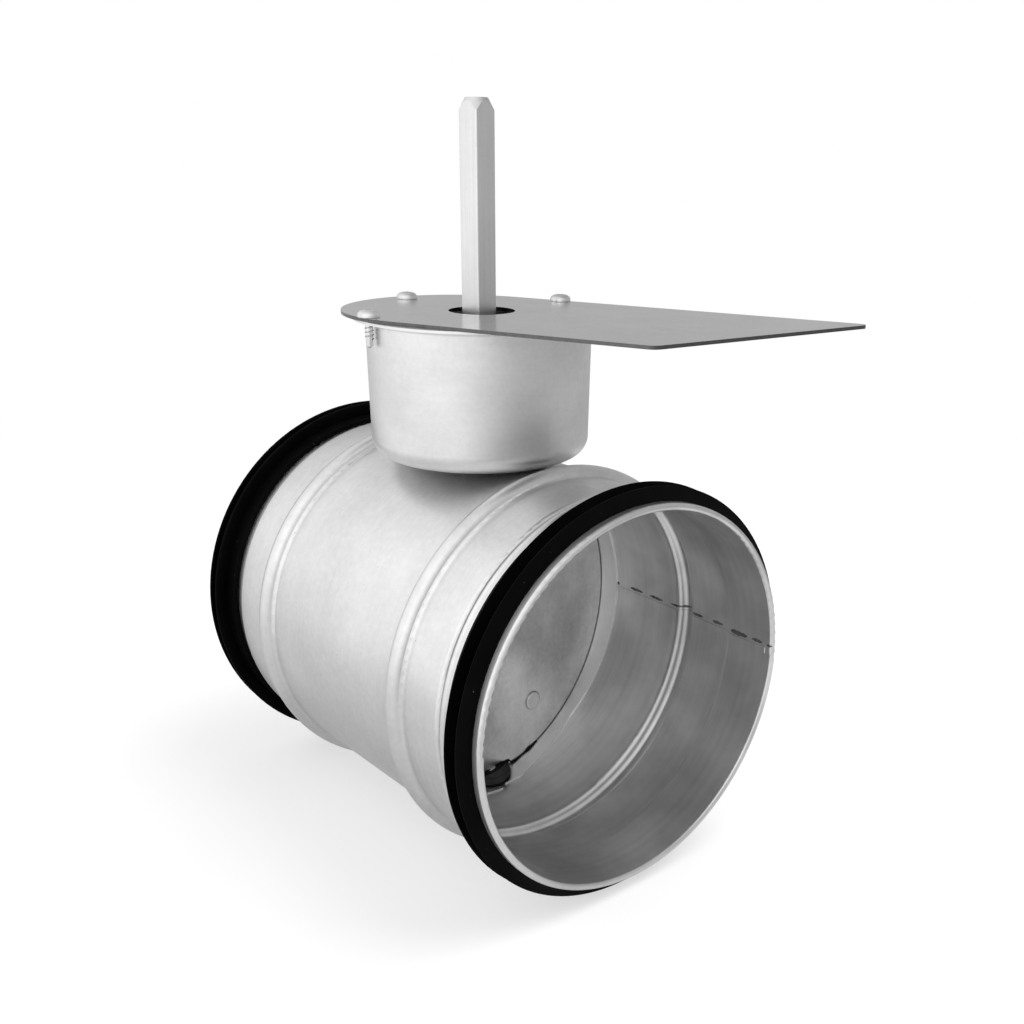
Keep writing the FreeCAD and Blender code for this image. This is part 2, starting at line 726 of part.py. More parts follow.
def make_plate_screws():
    """Pan-head self-drilling screws. The point is a short flat drill."""
    screws = []
    rise = "(screwHeadHeight - screwHeadRim)"
    for angle in SCREW_TURNS:
        body = new_body(angle.replace("Turn", ""))
        profile = new_sketch(body, f"{body.Name}Profile", "XZ_Plane")
        draw_outline(
            profile,
            [
                ("0", "-screwLength"),
                ("screwTipRadius", "-screwLength + screwTip / 3"),
                ("screwTipRadius", "-screwLength + screwTip"),
                ("screwRadius", "-screwLength + screwTip + screwRadius - screwTipRadius"),
                ("screwRadius", "0"),
                ("screwHeadRadius", "0"),
                ("screwHeadRadius", "screwHeadRim"),
                ("0", "screwHeadHeight", "left", f"(screwHeadRadius ^ 2 + {rise} ^ 2) / (2 * {rise})"),
            ],
        )
        revolve(body, profile, "V_Axis")
        x, y = screw_place(angle)
        body.setExpression("Placement.Base.x", bound(x))
        body.setExpression("Placement.Base.y", bound(y))
        body.setExpression("Placement.Base.z", bound(PLATE_TOP))
        screws.append(body)
    group("plate_screws", screws)


# Bushes


def saddle_cut(name, barrel, flange, gap, upper):
    """The space outside the wall's inner face, round a bush's barrel."""
    base = "0" if upper else "-ductRadius - bushRound"
    ring = boolean(
        "Cut",
        f"{name}Ring",
        cylinder(f"{name}RingOuter", f"{flange} + bushRound", "ductRadius + bushRound", base=base),
        cylinder(f"{name}RingInner", barrel, "ductRadius + bushRound", base=base),
    )
    tube = cylinder(f"{name}Tube", f"{DUCT_INSIDE} - {gap}", f"4 * {flange}", along_duct=True)
    return boolean("Cut", f"{name}Saddle", ring, tube)


def make_upper_bush():
    blank = new_body("UpperBushBlank")
    profile = new_sketch(blank, "UpperBushProfile", "XZ_Plane")
    bore = "(sleeveRadius + bushRunning)"
    groove = f"({bore} - bushRunning + oRingFit + 2 * oRingSection + oRingFit)"
    groove_half = "(oRingSection + oRingGrooveGap)"
    draw_outline(
        profile,
        [
            (bore, UPPER_FLANGE_FACE),
            ("upperFlangeRadius - bushRound", UPPER_FLANGE_FACE),
            ("upperFlangeRadius", f"{UPPER_FLANGE_FACE} + bushRound", "left", "bushRound"),
            ("upperFlangeRadius", "ductRadius"),
            ("upperBarrelRadius", "ductRadius"),
            ("upperBarrelRadius", UPPER_BARREL_TOP),
            (bore, UPPER_BARREL_TOP),
            (bore, f"{O_RING_PLACE} + {groove_half}"),
            (groove, f"{O_RING_PLACE} + {groove_half}"),
            (groove, f"{O_RING_PLACE} - {groove_half}"),
            (bore, f"{O_RING_PLACE} - {groove_half}"),
        ],
    )
    revolve(blank, profile, "V_Axis")
    gap = "bushGasket - 2 * bushGasketFit"
    saddle = saddle_cut("UpperBush", "upperBarrelRadius", "upperFlangeRadius", gap, True)
    node(boolean("Cut", "upper_bush", blank, saddle), "upper_bush")


def make_lower_bush():
    """Blind bush: nothing leaks past the pivot."""
    blank = new_body("LowerBushBlank")
    profile = new_sketch(blank, "LowerBushProfile", "XZ_Plane")
    bore = "(pivotRadius + bushRunning)"
    bore_end = f"({PIVOT_END} + pivotEndGap)"
    draw_outline(
        profile,
        [
            ("0", f"-{bore_end} - lowerBushFloor"),
            ("lowerBarrelRadius", f"-{bore_end} - lowerBushFloor"),
            ("lowerBarrelRadius", "-ductRadius"),
            ("lowerFlangeRadius", "-ductRadius"),
            ("lowerFlangeRadius", f"-{LOWER_FLANGE_FACE} - bushRound"),
            ("lowerFlangeRadius - bushRound", f"-{LOWER_FLANGE_FACE}", "left", "bushRound"),
            (bore, f"-{LOWER_FLANGE_FACE}"),
            (bore, f"-{bore_end}"),
            ("0", f"-{bore_end}"),
        ],
    )
    revolve(blank, profile, "V_Axis")
    gap = "bushGasket - 2 * bushGasketFit"
    saddle = saddle_cut("LowerBush", "lowerBarrelRadius", "lowerFlangeRadius", gap, False)
    node(boolean("Cut", "lower_bush", blank, saddle), "lower_bush")


def make_bush_gasket(name, barrel, flange, upper):
    """Rubber ring, curved to the wall, between a bush's flange and the tube."""
    base = "0" if upper else "-ductRadius"
    ring = boolean(
        "Cut",
        f"{name}Ring",
        cylinder(f"{name}Outer", flange, "ductRadius", base=base),
        cylinder(f"{name}Hole", f"{barrel} + bushGasketFit", "ductRadius", base=base),
    )
    length = f"4 * {flange}"
    outer = cylinder(f"{name}Wall", f"{DUCT_INSIDE} - bushGasketFit", length, along_duct=True)
    inner = cylinder(f"{name}Core", f"{DUCT_INSIDE} - bushGasket + bushGasketFit", length, along_duct=True)
    shell = boolean("Cut", f"{name}Shell", outer, inner)
    node(boolean("Common", name, ring, shell), name)


def make_bush_nut():
    """Hexagon nut inside the cup. It clamps the cup, the pad and the tube on the upper bush."""
    blank = doc.addObject("Part::Prism", "NutBlank")
    blank.Polygon = 6
    blank.setExpression("Circumradius", bound("nutAcross / sqrt(3)"))
    blank.setExpression("Height", bound("nutHeight"))
    blank.setExpression("Placement.Base.z", bound(CUP_FLOOR_TOP))
    bore = cylinder("NutBore", "upperBarrelRadius + nutFit", "3 * nutHeight", f"{CUP_FLOOR_TOP} - nutHeight")
    node(boolean("Cut", "bush_nut", blank, bore), "bush_nut")


def make_lower_bush_ring():
    """Push-on ring under the tube that holds the lower bush in its hole."""
    base = "-ductRadius - lowerRingGap - lowerRingThickness"
    outer = cylinder("LowerRingOuter", "lowerRingRadius", "lowerRingThickness", base)
    bore = cylinder("LowerRingBore", "lowerBarrelRadius + nutFit", "ductRadius", f"{base} - ductRadius / 2")
    node(boolean("Cut", "lower_bush_ring", outer, bore), "lower_bush_ring")


# Shaft


def make_drive_shaft():
    """Square bar. Below the tube's wall it is milled to a tongue that lies on the blade's back."""
    body = new_body("drive_shaft")
    section = new_sketch(body, "ShaftSection", "XY_Plane", offset=TONGUE_BOTTOM)
    draw_box(section, f"-{SHAFT_HALF}", f"-{SHAFT_HALF}", SHAFT_HALF, SHAFT_HALF)
    pad(body, section, f"{SHAFT_TOP} - {TONGUE_BOTTOM}")
    half = number_of(SHAFT_HALF)
    round_edges(body, "shaftEdge", lambda p, e: upright(e) and near(abs(p.x), half))
    corner = "(shaftSide / sqrt(2))"
    cone = new_sketch(body, "ShaftCone", "XZ_Plane")
    draw_outline(
        cone, [("shaftTopRadius", SHAFT_TOP), (corner, f"{SHAFT_TOP} - shaftTopCone"), (corner, SHAFT_TOP)]
    )
    corner_side = half - SIZES["shaftEdge"] / 2
    edge_point = (corner_side, corner_side, number_of(SHAFT_TOP) - SIZES["shaftEdge"] / 2)
    cut_away(body, "Groove", cone, edge_point, ReferenceAxis=(cone, ["V_Axis"]), Angle=360.0)
    flat = new_sketch(body, "ShaftFlat", "XZ_Plane")
    shoulder = f"({UPPER_NOTCH} + shoulderGap)"
    draw_box(flat, BLADE_BACK, f"{TONGUE_BOTTOM} - shaftSide", "shaftSide", shoulder)
    gone = (half / 2, 0, number_of(TONGUE_BOTTOM) + half)
    cut_away(body, "Pocket", flat, gone, Midplane=True)
    turn_with_blade(body)
    node(body, "drive_shaft")


def make_shaft_sleeve():
    """Plastic sleeve on the square shaft. It gives the shaft a round bearing and seal face."""
    body = new_body("shaft_sleeve")
    profile = new_sketch(body, "SleeveProfile", "XZ_Plane")
    clip_low = f"({CLIP_BOTTOM} - clipFit)"
    clip_high = f"({CLIP_BOTTOM} + clipThickness + clipFit)"
    draw_outline(
        profile,
        [
            ("0", COLLAR_BOTTOM),
            ("collarRadius", COLLAR_BOTTOM),
            ("collarRadius", COLLAR_TOP),
            ("sleeveRadius", COLLAR_TOP),
            ("sleeveRadius", clip_low),
            ("sleeveRadius - clipDepth", clip_low),
            ("sleeveRadius - clipDepth", clip_high),
            ("sleeveRadius", clip_high),
            ("sleeveRadius", f"{UPPER_BARREL_TOP} + sleeveRise"),
            ("0", f"{UPPER_BARREL_TOP} + sleeveRise"),
        ],
    )
    revolve(body, profile, "V_Axis")
    bore = new_sketch(body, "SleeveBore", "XY_Plane")
    side = f"({SHAFT_HALF} + sleeveFit)"
    draw_box(bore, f"-{side}", f"-{side}", side, side)
    cut_away(body, "Pocket", bore, (0, 0, number_of(COLLAR_TOP)), Midplane=True)
    turn_with_blade(body)
    node(body, "shaft_sleeve")


def make_sleeve_clip():
    """Open snap ring in the sleeve's groove. It carries the blade's weight on the upper bush."""
    ring = boolean(
        "Cut",
        "ClipRing",
        cylinder("ClipOuter", "clipRadius", "clipThickness", CLIP_BOTTOM),
        cylinder("ClipInner", "sleeveRadius - clipDepth + clipFit", "3 * clipThickness", UPPER_BARREL_TOP),
    )
    mouth = doc.addObject("Part::Box", "ClipMouth")
    mouth.setExpression("Length", bound("clipRadius + clipFit"))
    mouth.setExpression("Width", bound("clipMouth"))
    mouth.setExpression("Height", bound("3 * clipThickness"))
    mouth.setExpression("Placement.Base.x", bound("-clipRadius - clipFit"))
    mouth.setExpression("Placement.Base.y", bound("-clipMouth / 2"))
    mouth.setExpression("Placement.Base.z", bound(UPPER_BARREL_TOP))
    clip = boolean("Cut", "sleeve_clip", ring, mouth)
    turn_with_blade(clip)
    node(clip, "sleeve_clip")


def make_shaft_o_ring():
    ring = doc.addObject("Part::Torus", "shaft_o_ring")
    ring.setExpression("Radius1", bound("sleeveRadius + oRingFit + oRingSection"))
    ring.setExpression("Radius2", bound("oRingSection"))
    ring.setExpression("Placement.Base.z", bound(O_RING_PLACE))
    node(ring, "shaft_o_ring")


def make_pivot_pin():
    """The lower half of the shaft: a tongue on the blade's back and a turned pin in the blind bush."""
    body = new_body("pivot_pin")
    section = new_sketch(body, "TongueSection", "XY_Plane", offset=f"-{PIVOT_SHOULDER}")
    draw_box(section, f"-{SHAFT_HALF}", f"-{SHAFT_HALF}", BLADE_BACK, SHAFT_HALF)
    pad(body, section, f"{PIVOT_SHOULDER} - {TONGUE_BOTTOM}")
    turned = new_sketch(body, "PinSection", "XY_Plane", offset=f"-{PIVOT_END}")
    draw_circle(turned, "0", "0", "pivotRadius")
    pad(body, turned, "pivotLength")
    turn_with_blade(body)
    node(body, "pivot_pin")


# Blade


def make_blade_layer(name, back, thickness, inset, notch_gap):
    """One layer of the blade: an ellipse that fills the tube when turned by the tilt, notched at the bushes."""
    body = new_body(name)
    outline = new_sketch(body, f"{name}Outline", "YZ_Plane", offset=back)
    radius = f"({BLADE_RADIUS} - {inset})"
    shift = f"-{BLADE_MIDDLE} * tan(tilt * 1 deg)"
    draw_ellipse(outline, shift, f"({radius} / cos(tilt * 1 deg))", radius)
    pad(body, outline, thickness)
    notches = new_sketch(body, f"{name}Notches", "YZ_Plane", offset=back)
    upper_side = f"(upperFlangeRadius + {notch_gap})"
    lower_side = f"(lowerFlangeRadius + {notch_gap})"
    draw_box(notches, f"-{upper_side}", UPPER_NOTCH, upper_side, "ductRadius")
    draw_box(notches, f"-{lower_side}", "-ductRadius", lower_side, f"-{LOWER_NOTCH}")
    for side, height in RIVET_PLACES:
        draw_circle(notches, f"{side}bladeRivetSide", f"{height}{BLADE_RIVET_HEIGHT}", "bladeRivetRadius + rivetFit")
    gone = (number_of(f"{back} + {thickness} / 2"), 0, number_of(f"{UPPER_NOTCH} + {BLADE_RADIUS}") / 2)
    cut_away(body, "Pocket", notches, gone, Midplane=True)
    round_edges(
        body,
        "notchCorner",
        lambda p, e: abs(e.tangentAt(e.FirstParameter).x) > 0.99
        and (near(abs(p.y), number_of(upper_side)) or near(abs(p.y), number_of(lower_side)))
        and (near(p.z, number_of(UPPER_NOTCH)) or near(p.z, -number_of(LOWER_NOTCH))),
    )
    turn_with_blade(body)
    node(body, name)


def make_bracket(name, height):
    """Bent sheet that straddles a tongue and is riveted to the blade's back."""
    body = new_body(name)
    section = new_sketch(body, f"{name}Section", "XY_Plane", offset=f"{height} - bracketHalfHeight")
    channel = f"({SHAFT_HALF} + bracketFit)"
    floor = f"(-{SHAFT_HALF} - bracketFit)"
    outer_ear = f"({BLADE_BACK} - bracketSheet)"
    draw_outline(
        section,
        [
            (BLADE_BACK, f"-{BRACKET_HALF_LENGTH}"),
            (BLADE_BACK, f"-{channel}"),
            (floor, f"-{channel}"),
            (floor, channel),
            (BLADE_BACK, channel),
            (BLADE_BACK, BRACKET_HALF_LENGTH),
            (outer_ear, BRACKET_HALF_LENGTH),
            (outer_ear, f"{channel} + bracketSheet"),
            (f"{floor} - bracketSheet", f"{channel} + bracketSheet"),
            (f"{floor} - bracketSheet", f"-{channel} - bracketSheet"),
            (outer_ear, f"-{channel} - bracketSheet"),
            (outer_ear, f"-{BRACKET_HALF_LENGTH}"),
        ],
    )
    pad(body, section, "2 * bracketHalfHeight")
    crown = number_of(f"{channel} + bracketSheet")
    round_edges(body, "bracketBend", lambda p, e: upright(e) and near(abs(p.y), crown))
    holes = new_sketch(body, f"{name}Holes", "YZ_Plane")
    for side in ("", "-"):
        draw_circle(holes, f"{side}bladeRivetSide", height, "bladeRivetRadius + rivetFit")
    ear_middle = number_of(f"{BLADE_BACK} - bracketSheet / 2")
    gone = (ear_middle, SIZES["bladeRivetSide"], number_of(height))
    cut_away(body, "Pocket", holes, gone, Midplane=True)
    turn_with_blade(body)
    node(body, name)


def make_blade_rivets():
    rivets = []
    ear_back = f"({BLADE_BACK} - bracketSheet)"
    bevel = "bladeRivetHeadBevel"
    for place, (side, height) in enumerate(RIVET_PLACES):
        body = new_body(f"BladeRivet{place}")
        profile = new_sketch(body, f"BladeRivetProfile{place}", "XZ_Plane")
        draw_outline(
            profile,
            [
                ("bladeFront + bladeRivetHeadHeight", "0"),
                ("bladeFront + bladeRivetHeadHeight", f"bladeRivetHeadRadius - {bevel}"),
                (f"bladeFront + bladeRivetHeadHeight - {bevel}", "bladeRivetHeadRadius", "left", bevel),
                ("bladeFront", "bladeRivetHeadRadius"),
                ("bladeFront", "bladeRivetRadius"),
                (ear_back, "bladeRivetRadius"),
                (ear_back, "bladeRivetTailRadius"),
                (
                    f"{ear_back} - bladeRivetTailHeight",
                    "0",
                    "left",
                    "(bladeRivetTailRadius ^ 2 + bladeRivetTailHeight ^ 2) / (2 * bladeRivetTailHeight)",
                ),
            ],
        )
        revolve(body, profile, "H_Axis")
        turn_with_blade(body, side=f"{side}bladeRivetSide", height=f"{height}{BLADE_RIVET_HEIGHT}")
        rivets.append(body)
    group("blade_rivets", rivets)


make_duct_body()
make_gasket("front_gasket", False)
make_gasket("rear_gasket", True)
make_seat_strips()
make_spacer_cup()
make_cup_seat_pad()
make_cup_rivets()
make_actuator_plate()
make_plate_screws()
make_upper_bush()
make_bush_gasket("upper_bush_gasket", "upperBarrelRadius", "upperFlangeRadius", True)
make_bush_nut()
make_lower_bush()
make_bush_gasket("lower_bush_gasket", "lowerBarrelRadius", "lowerFlangeRadius", False)
make_lower_bush_ring()
make_shaft_o_ring()
make_drive_shaft()
make_shaft_sleeve()
make_sleeve_clip()
make_pivot_pin()
make_blade_layer("blade_front_disc", "bladeFront - discThickness", "discThickness", "discInset", "discNotchGap")
make_blade_layer("blade_seal", f"({BLADE_BACK} + discThickness)", "sealThickness", "0", "sealNotchGap")
make_blade_layer("blade_rear_disc", BLADE_BACK, "discThickness", "discInset", "discNotchGap")
make_bracket("upper_bracket", BLADE_RIVET_HEIGHT)
make_bracket("lower_bracket", f"-{BLADE_RIVET_HEIGHT}")
make_blade_rivets()

doc.recompute()
for thing in doc.Objects:
    if "Invalid" in thing.State or "Error" in thing.State:
        raise RuntimeError(f"{thing.Name} failed: {thing.State}")
os.makedirs("parts", exist_ok=True)
for thing in nodes:
    if thing.Shape.isNull() or not thing.Shape.isValid():
        raise RuntimeError(f"{thing.Label} has no sound shape")
for thing in nodes:
    thing.Shape.exportStep(f"parts/{thing.Label}.step")
    print(thing.Label, "solids", len(thing.Shape.Solids), "mm3", round(thing.Shape.Volume, 1))
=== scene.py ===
import math
import random

import bmesh
import bpy
from mathutils import Matrix, Vector
from mathutils.bvhtree import BVHTree


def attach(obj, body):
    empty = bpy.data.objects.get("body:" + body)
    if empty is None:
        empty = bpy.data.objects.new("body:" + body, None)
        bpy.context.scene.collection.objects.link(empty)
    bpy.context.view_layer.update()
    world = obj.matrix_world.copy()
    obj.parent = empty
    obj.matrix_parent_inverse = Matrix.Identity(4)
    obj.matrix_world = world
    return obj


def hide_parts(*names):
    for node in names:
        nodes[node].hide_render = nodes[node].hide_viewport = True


# Looks of the airtight shut-off damper: its metal, rubber and plastic finishes, the screws, the blade's
# front sheet and rubber edges and the weld marks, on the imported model. The duct lies along X and the shaft
# along Z. Sizes of pieces are in millimetres and angles in degrees, unless a comment says otherwise. The
# camera, the finishes and the studio are in metres.

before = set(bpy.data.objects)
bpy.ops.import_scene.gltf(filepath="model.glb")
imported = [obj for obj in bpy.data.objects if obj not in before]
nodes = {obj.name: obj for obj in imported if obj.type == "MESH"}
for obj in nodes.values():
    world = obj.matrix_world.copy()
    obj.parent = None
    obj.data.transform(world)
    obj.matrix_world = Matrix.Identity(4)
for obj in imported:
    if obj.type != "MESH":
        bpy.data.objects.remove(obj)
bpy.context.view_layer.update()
print("frame loaded:", len(nodes), "nodes")

mm = 0.001
mergeWithin = 1e-6  # metres, how near double corners of a piece lie
mergeFine = 1e-7  # metres, the same for thin pieces


def clean(bm, distance=mergeWithin):
    # Merges double corners and turns every face outwards.
    bmesh.ops.remove_doubles(bm, verts=bm.verts, dist=distance)
    bmesh.ops.recalc_face_normals(bm, faces=bm.faces)


def newObject(bm, name):
    # Turns a bmesh into an object of that name.
    mesh = bpy.data.meshes.new(name)
    bm.to_mesh(mesh)
    bm.free()
    thing = bpy.data.objects.new(name, mesh)
    bpy.context.scene.collection.objects.link(thing)
    return thing


def finishPiece(bm, name, body, material, smoothBelow):
    # Turns a bmesh into a piece that rides on a body, smooth except at edges sharper than the angle.
    for face in bm.faces:
        face.smooth = True
    for edge in bm.edges:
        edge.smooth = len(edge.link_faces) == 2 and edge.calc_face_angle(0) < math.radians(smoothBelow)
    piece = newObject(bm, name)
    piece.data.validate()
    piece.data.materials.append(material)
    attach(piece, body)
    return piece


# Camera

cameraView = {
    "place": (0.30959, -0.22765, 0.15755),
    "heading": 138.57,  # from +X
    "tilt": -20.66,
    "roll": 1.09,
    "focalPixels": 1166.3,
    "imagePixels": 1024,
    "axisAt": (580, 590),  # where the optical axis meets the picture
    "sensor": 36,  # millimetres
    "clip": (0.01, 20),
}


def makeCamera():
    yaw, pitch, roll = (math.radians(cameraView[key]) for key in ("heading", "tilt", "roll"))
    forward = Vector((math.cos(pitch) * math.cos(yaw), math.cos(pitch) * math.sin(yaw), math.sin(pitch)))
    level = forward.cross(Vector((0, 0, 1))).normalized()
    right = level * math.cos(roll) + level.cross(forward) * math.sin(roll)
    up = right.cross(forward)
    data = bpy.data.cameras.new("camera")
    data.sensor_width = cameraView["sensor"]
    data.lens = cameraView["focalPixels"] / cameraView["imagePixels"] * cameraView["sensor"]
    half = cameraView["imagePixels"] / 2
    data.shift_x = (half - cameraView["axisAt"][0]) / cameraView["imagePixels"]
    data.shift_y = (cameraView["axisAt"][1] - half) / cameraView["imagePixels"]
    data.clip_start, data.clip_end = cameraView["clip"]
    camera = bpy.data.objects.new("camera", data)
    bpy.context.scene.collection.objects.link(camera)
    turn = Matrix((right, up, -forward)).transposed().to_4x4()
    camera.matrix_world = Matrix.Translation(Vector(cameraView["place"])) @ turn
    bpy.context.scene.camera = camera


makeCamera()
print("camera placed")

# Shared effects

cloudShape = {
    "broadDetail": 1.0,
    "middleTimes": 3.7,  # how much finer than the broad clouds
    "middleDetail": 2.0,
    "broadShare": 0.68,
    "middleShare": 0.32,
    "gain": 3.2,
    "mottleTimes": 19.0,
    "mottleDetail": 4.0,
    "mottleRoughness": 0.7,
    "mottleGain": 2.2,
}
grainShape = {
    "detail": 3.0,
    "roughness": 0.65,
}
speckShape = {
    "detail": 1.0,
    "threshold": 0.82,  # noise above this is a speck, where the amount is 0
    "perAmount": 0.12,
    "gain": 14.0,
}


def newGroup(name, inputs, outputs):
    # A node group with named sockets, and its input and output nodes.
    group = bpy.data.node_groups.new(name, "ShaderNodeTree")
    for label, kind, value in inputs:
        socket = group.interface.new_socket(name=label, in_out="INPUT", socket_type=kind)
        if value is not None:
            socket.default_value = value
    for label, kind in outputs:
        group.interface.new_socket(name=label, in_out="OUTPUT", socket_type=kind)
    start = group.nodes.new("NodeGroupInput")
    end = group.nodes.new("NodeGroupOutput")
    return group, start, end


def mathNode(tree, operation, first, second=None, clamp=False):
    node = tree.nodes.new("ShaderNodeMath")
    node.operation = operation
    node.use_clamp = clamp
    for place, value in enumerate((first, second)):
        if isinstance(value, (int, float)):
            node.inputs[place].default_value = value
        elif value is not None:
            tree.links.new(value, node.inputs[place])
    return node.outputs[0]


def noiseNode(tree, vector, scale, detail, roughness=0.5):
    node = tree.nodes.new("ShaderNodeTexNoise")
    node.inputs["Detail"].default_value = detail
    node.inputs["Roughness"].default_value = roughness
    tree.links.new(vector, node.inputs["Vector"])
    if isinstance(scale, (int, float)):
        node.inputs["Scale"].default_value = scale
    else:
        tree.links.new(scale, node.inputs["Scale"])
    return node.outputs["Fac"]


def mixColour(tree, mask, first, second):
    node = tree.nodes.new("ShaderNodeMix")
    node.data_type = "RGBA"
    tree.links.new(mask, node.inputs["Factor"])
    for label, value in (("A", first), ("B", second)):
        socket = next(s for s in node.inputs if s.name == label and s.type == "RGBA")
        if isinstance(value, tuple):
            socket.default_value = value
        else:
            tree.links.new(value, socket)
    return next(s for s in node.outputs if s.type == "RGBA")


def stretched(tree, vector, stretch):
    node = tree.nodes.new("ShaderNodeVectorMath")
    node.operation = "MULTIPLY"
    tree.links.new(vector, node.inputs[0])
    tree.links.new(stretch, node.inputs[1])
    return node.outputs[0]


def blendOf(tree, parts):
    # Adds values, each times its share.
    total = None
    for value, share in parts:
        part = mathNode(tree, "MULTIPLY", value, share)
        total = part if total is None else mathNode(tree, "ADD", total, part)
    return total


def spread(tree, value, gain):
    # Spreads a value about one half, then keeps it between 0 and 1.
    offset = mathNode(tree, "SUBTRACT", value, 0.5)
    return mathNode(tree, "ADD", mathNode(tree, "MULTIPLY", offset, gain), 0.5, clamp=True)


def makeCloudGroup():
    # Soft clouds in a zinc coat and the fine mottling inside them. Contrast 1 is full.
    group, start, end = newGroup(
        "zincClouds",
        [
            ("Vector", "NodeSocketVector", None),
            ("Scale", "NodeSocketFloat", 20.0),
            ("Contrast", "NodeSocketFloat", 1.0),
        ],
        [("Cloud", "NodeSocketFloat"), ("Mottle", "NodeSocketFloat")],
    )
    shape = cloudShape
    vector, scale = start.outputs["Vector"], start.outputs["Scale"]
    middleScale = mathNode(group, "MULTIPLY", scale, shape["middleTimes"])
    mottleScale = mathNode(group, "MULTIPLY", scale, shape["mottleTimes"])
    broad = noiseNode(group, vector, scale, shape["broadDetail"])
    middle = noiseNode(group, vector, middleScale, shape["middleDetail"])
    mottle = noiseNode(group, vector, mottleScale, shape["mottleDetail"], shape["mottleRoughness"])
    both = blendOf(group, ((broad, shape["broadShare"]), (middle, shape["middleShare"])))
    gain = mathNode(group, "MULTIPLY", start.outputs["Contrast"], shape["gain"])
    group.links.new(spread(group, both, gain), end.inputs["Cloud"])
    group.links.new(spread(group, mottle, shape["mottleGain"]), end.inputs["Mottle"])
    return group


def makeGrainGroup():
    # Fine drawn lines. Stretch is how often they repeat along each axis, so they run where it is small.
    group, start, end = newGroup(
        "drawnGrain",
        [
            ("Vector", "NodeSocketVector", None),
            ("Stretch", "NodeSocketVector", (1.0, 1.0, 1.0)),
        ],
        [("Grain", "NodeSocketFloat")],
    )
    pulled = stretched(group, start.outputs["Vector"], start.outputs["Stretch"])
    grain = noiseNode(group, pulled, 1.0, grainShape["detail"], grainShape["roughness"])
    group.links.new(grain, end.inputs["Grain"])
    return group


def makeSpeckGroup():
    # Small specks of dust and pits, as a mask.
    group, start, end = newGroup(
        "fineSpecks",
        [
            ("Vector", "NodeSocketVector", None),
            ("Scale", "NodeSocketFloat", 900.0),
            ("Amount", "NodeSocketFloat", 0.3),
        ],
        [("Speck", "NodeSocketFloat")],
    )
    grains = noiseNode(group, start.outputs["Vector"], start.outputs["Scale"], speckShape["detail"])
    lowered = mathNode(group, "MULTIPLY", start.outputs["Amount"], speckShape["perAmount"])
    edge = mathNode(group, "SUBTRACT", speckShape["threshold"], lowered)
    above = mathNode(group, "SUBTRACT", grains, edge)
    speck = mathNode(group, "MULTIPLY", above, speckShape["gain"], clamp=True)
    group.links.new(speck, end.inputs["Speck"])
    return group


cloudGroup = makeCloudGroup()
grainGroup = makeGrainGroup()
speckGroup = makeSpeckGroup()


def placeGroup(tree, group, vector, **values):
    node = tree.nodes.new("ShaderNodeGroup")
    node.node_tree = group
    tree.links.new(vector, node.inputs["Vector"])
    for label, value in values.items():
        node.inputs[label].default_value = value
    return node


def grey(level):
    return (level, level, level, 1.0)


def newMaterial(name):
    material = bpy.data.materials.new(name)
    material.use_nodes = True
    shader = material.node_tree.nodes["Principled BSDF"]
    coordinates = material.node_tree.nodes.new("ShaderNodeTexCoord")
    return material, material.node_tree, shader, coordinates.outputs["Object"]


surfaceShape = {
    "insideGain": -60.0,  # how sharply the inner side's mask rises, for each metre from the axis
    "flatGain": 1.6,  # how sharply the cut edges' mask falls
    "bandGain": 2.6,  # how strong the rolled bands are inside the wall
    "insideClouds": 0.72,  # the clouds' share of the marks there, and the bands'
    "insideBands": 0.28,
    "cutDark": 0.5,  # a cut edge's darkest level, as a share of its lightest
    "speckDark": 0.5,  # the specks' level, as a share of the metal's darkest
    "metalSpecks": 900.0,
    "rubberSpecks": 1300.0,
    "rubberClouds": 0.9,
    "rubberRelief": 0.0001,
}


def insideMask(tree, place):
    # 1 on the wall's inner side: where the surface faces the duct's axis.
    across = tree.nodes.new("ShaderNodeVectorMath")
    across.operation = "MULTIPLY"
    across.inputs[1].default_value = (0, 1, 1)
    tree.links.new(place, across.inputs[0])
    geometry = tree.nodes.new("ShaderNodeNewGeometry")
    facing = tree.nodes.new("ShaderNodeVectorMath")
    facing.operation = "DOT_PRODUCT"
    tree.links.new(across.outputs["Vector"], facing.inputs[0])
    tree.links.new(geometry.outputs["Normal"], facing.inputs[1])
    return mathNode(tree, "MULTIPLY", facing.outputs["Value"], surfaceShape["insideGain"], clamp=True)


def edgeMask(tree):
    # 1 on a flat sheet's cut edges, where the surface stands upright.
    geometry = tree.nodes.new("ShaderNodeNewGeometry")
    parts = tree.nodes.new("ShaderNodeSeparateXYZ")
    tree.links.new(geometry.outputs["Normal"], parts.inputs["Vector"])
    level = mathNode(tree, "ABSOLUTE", parts.outputs["Z"])
    flat = mathNode(tree, "MULTIPLY", level, surfaceShape["flatGain"], clamp=True)
    return mathNode(tree, "SUBTRACT", 1.0, flat, clamp=True)


def setGloss(tree, shader, mask, values):
    # Matt where the mask is 0, glossy where it is 1.
    change = mathNode(tree, "MULTIPLY", mask, values["gloss"] - values["matt"])
    tree.links.new(mathNode(tree, "ADD", change, values["matt"], clamp=True), shader.inputs["Roughness"])


def setRelief(tree, shader, height, strength, depth):
    bump = tree.nodes.new("ShaderNodeBump")
    bump.inputs["Strength"].default_value = strength
    bump.inputs["Distance"].default_value = depth
    tree.links.new(height, bump.inputs["Height"])
    tree.links.new(bump.outputs["Normal"], shader.inputs["Normal"])


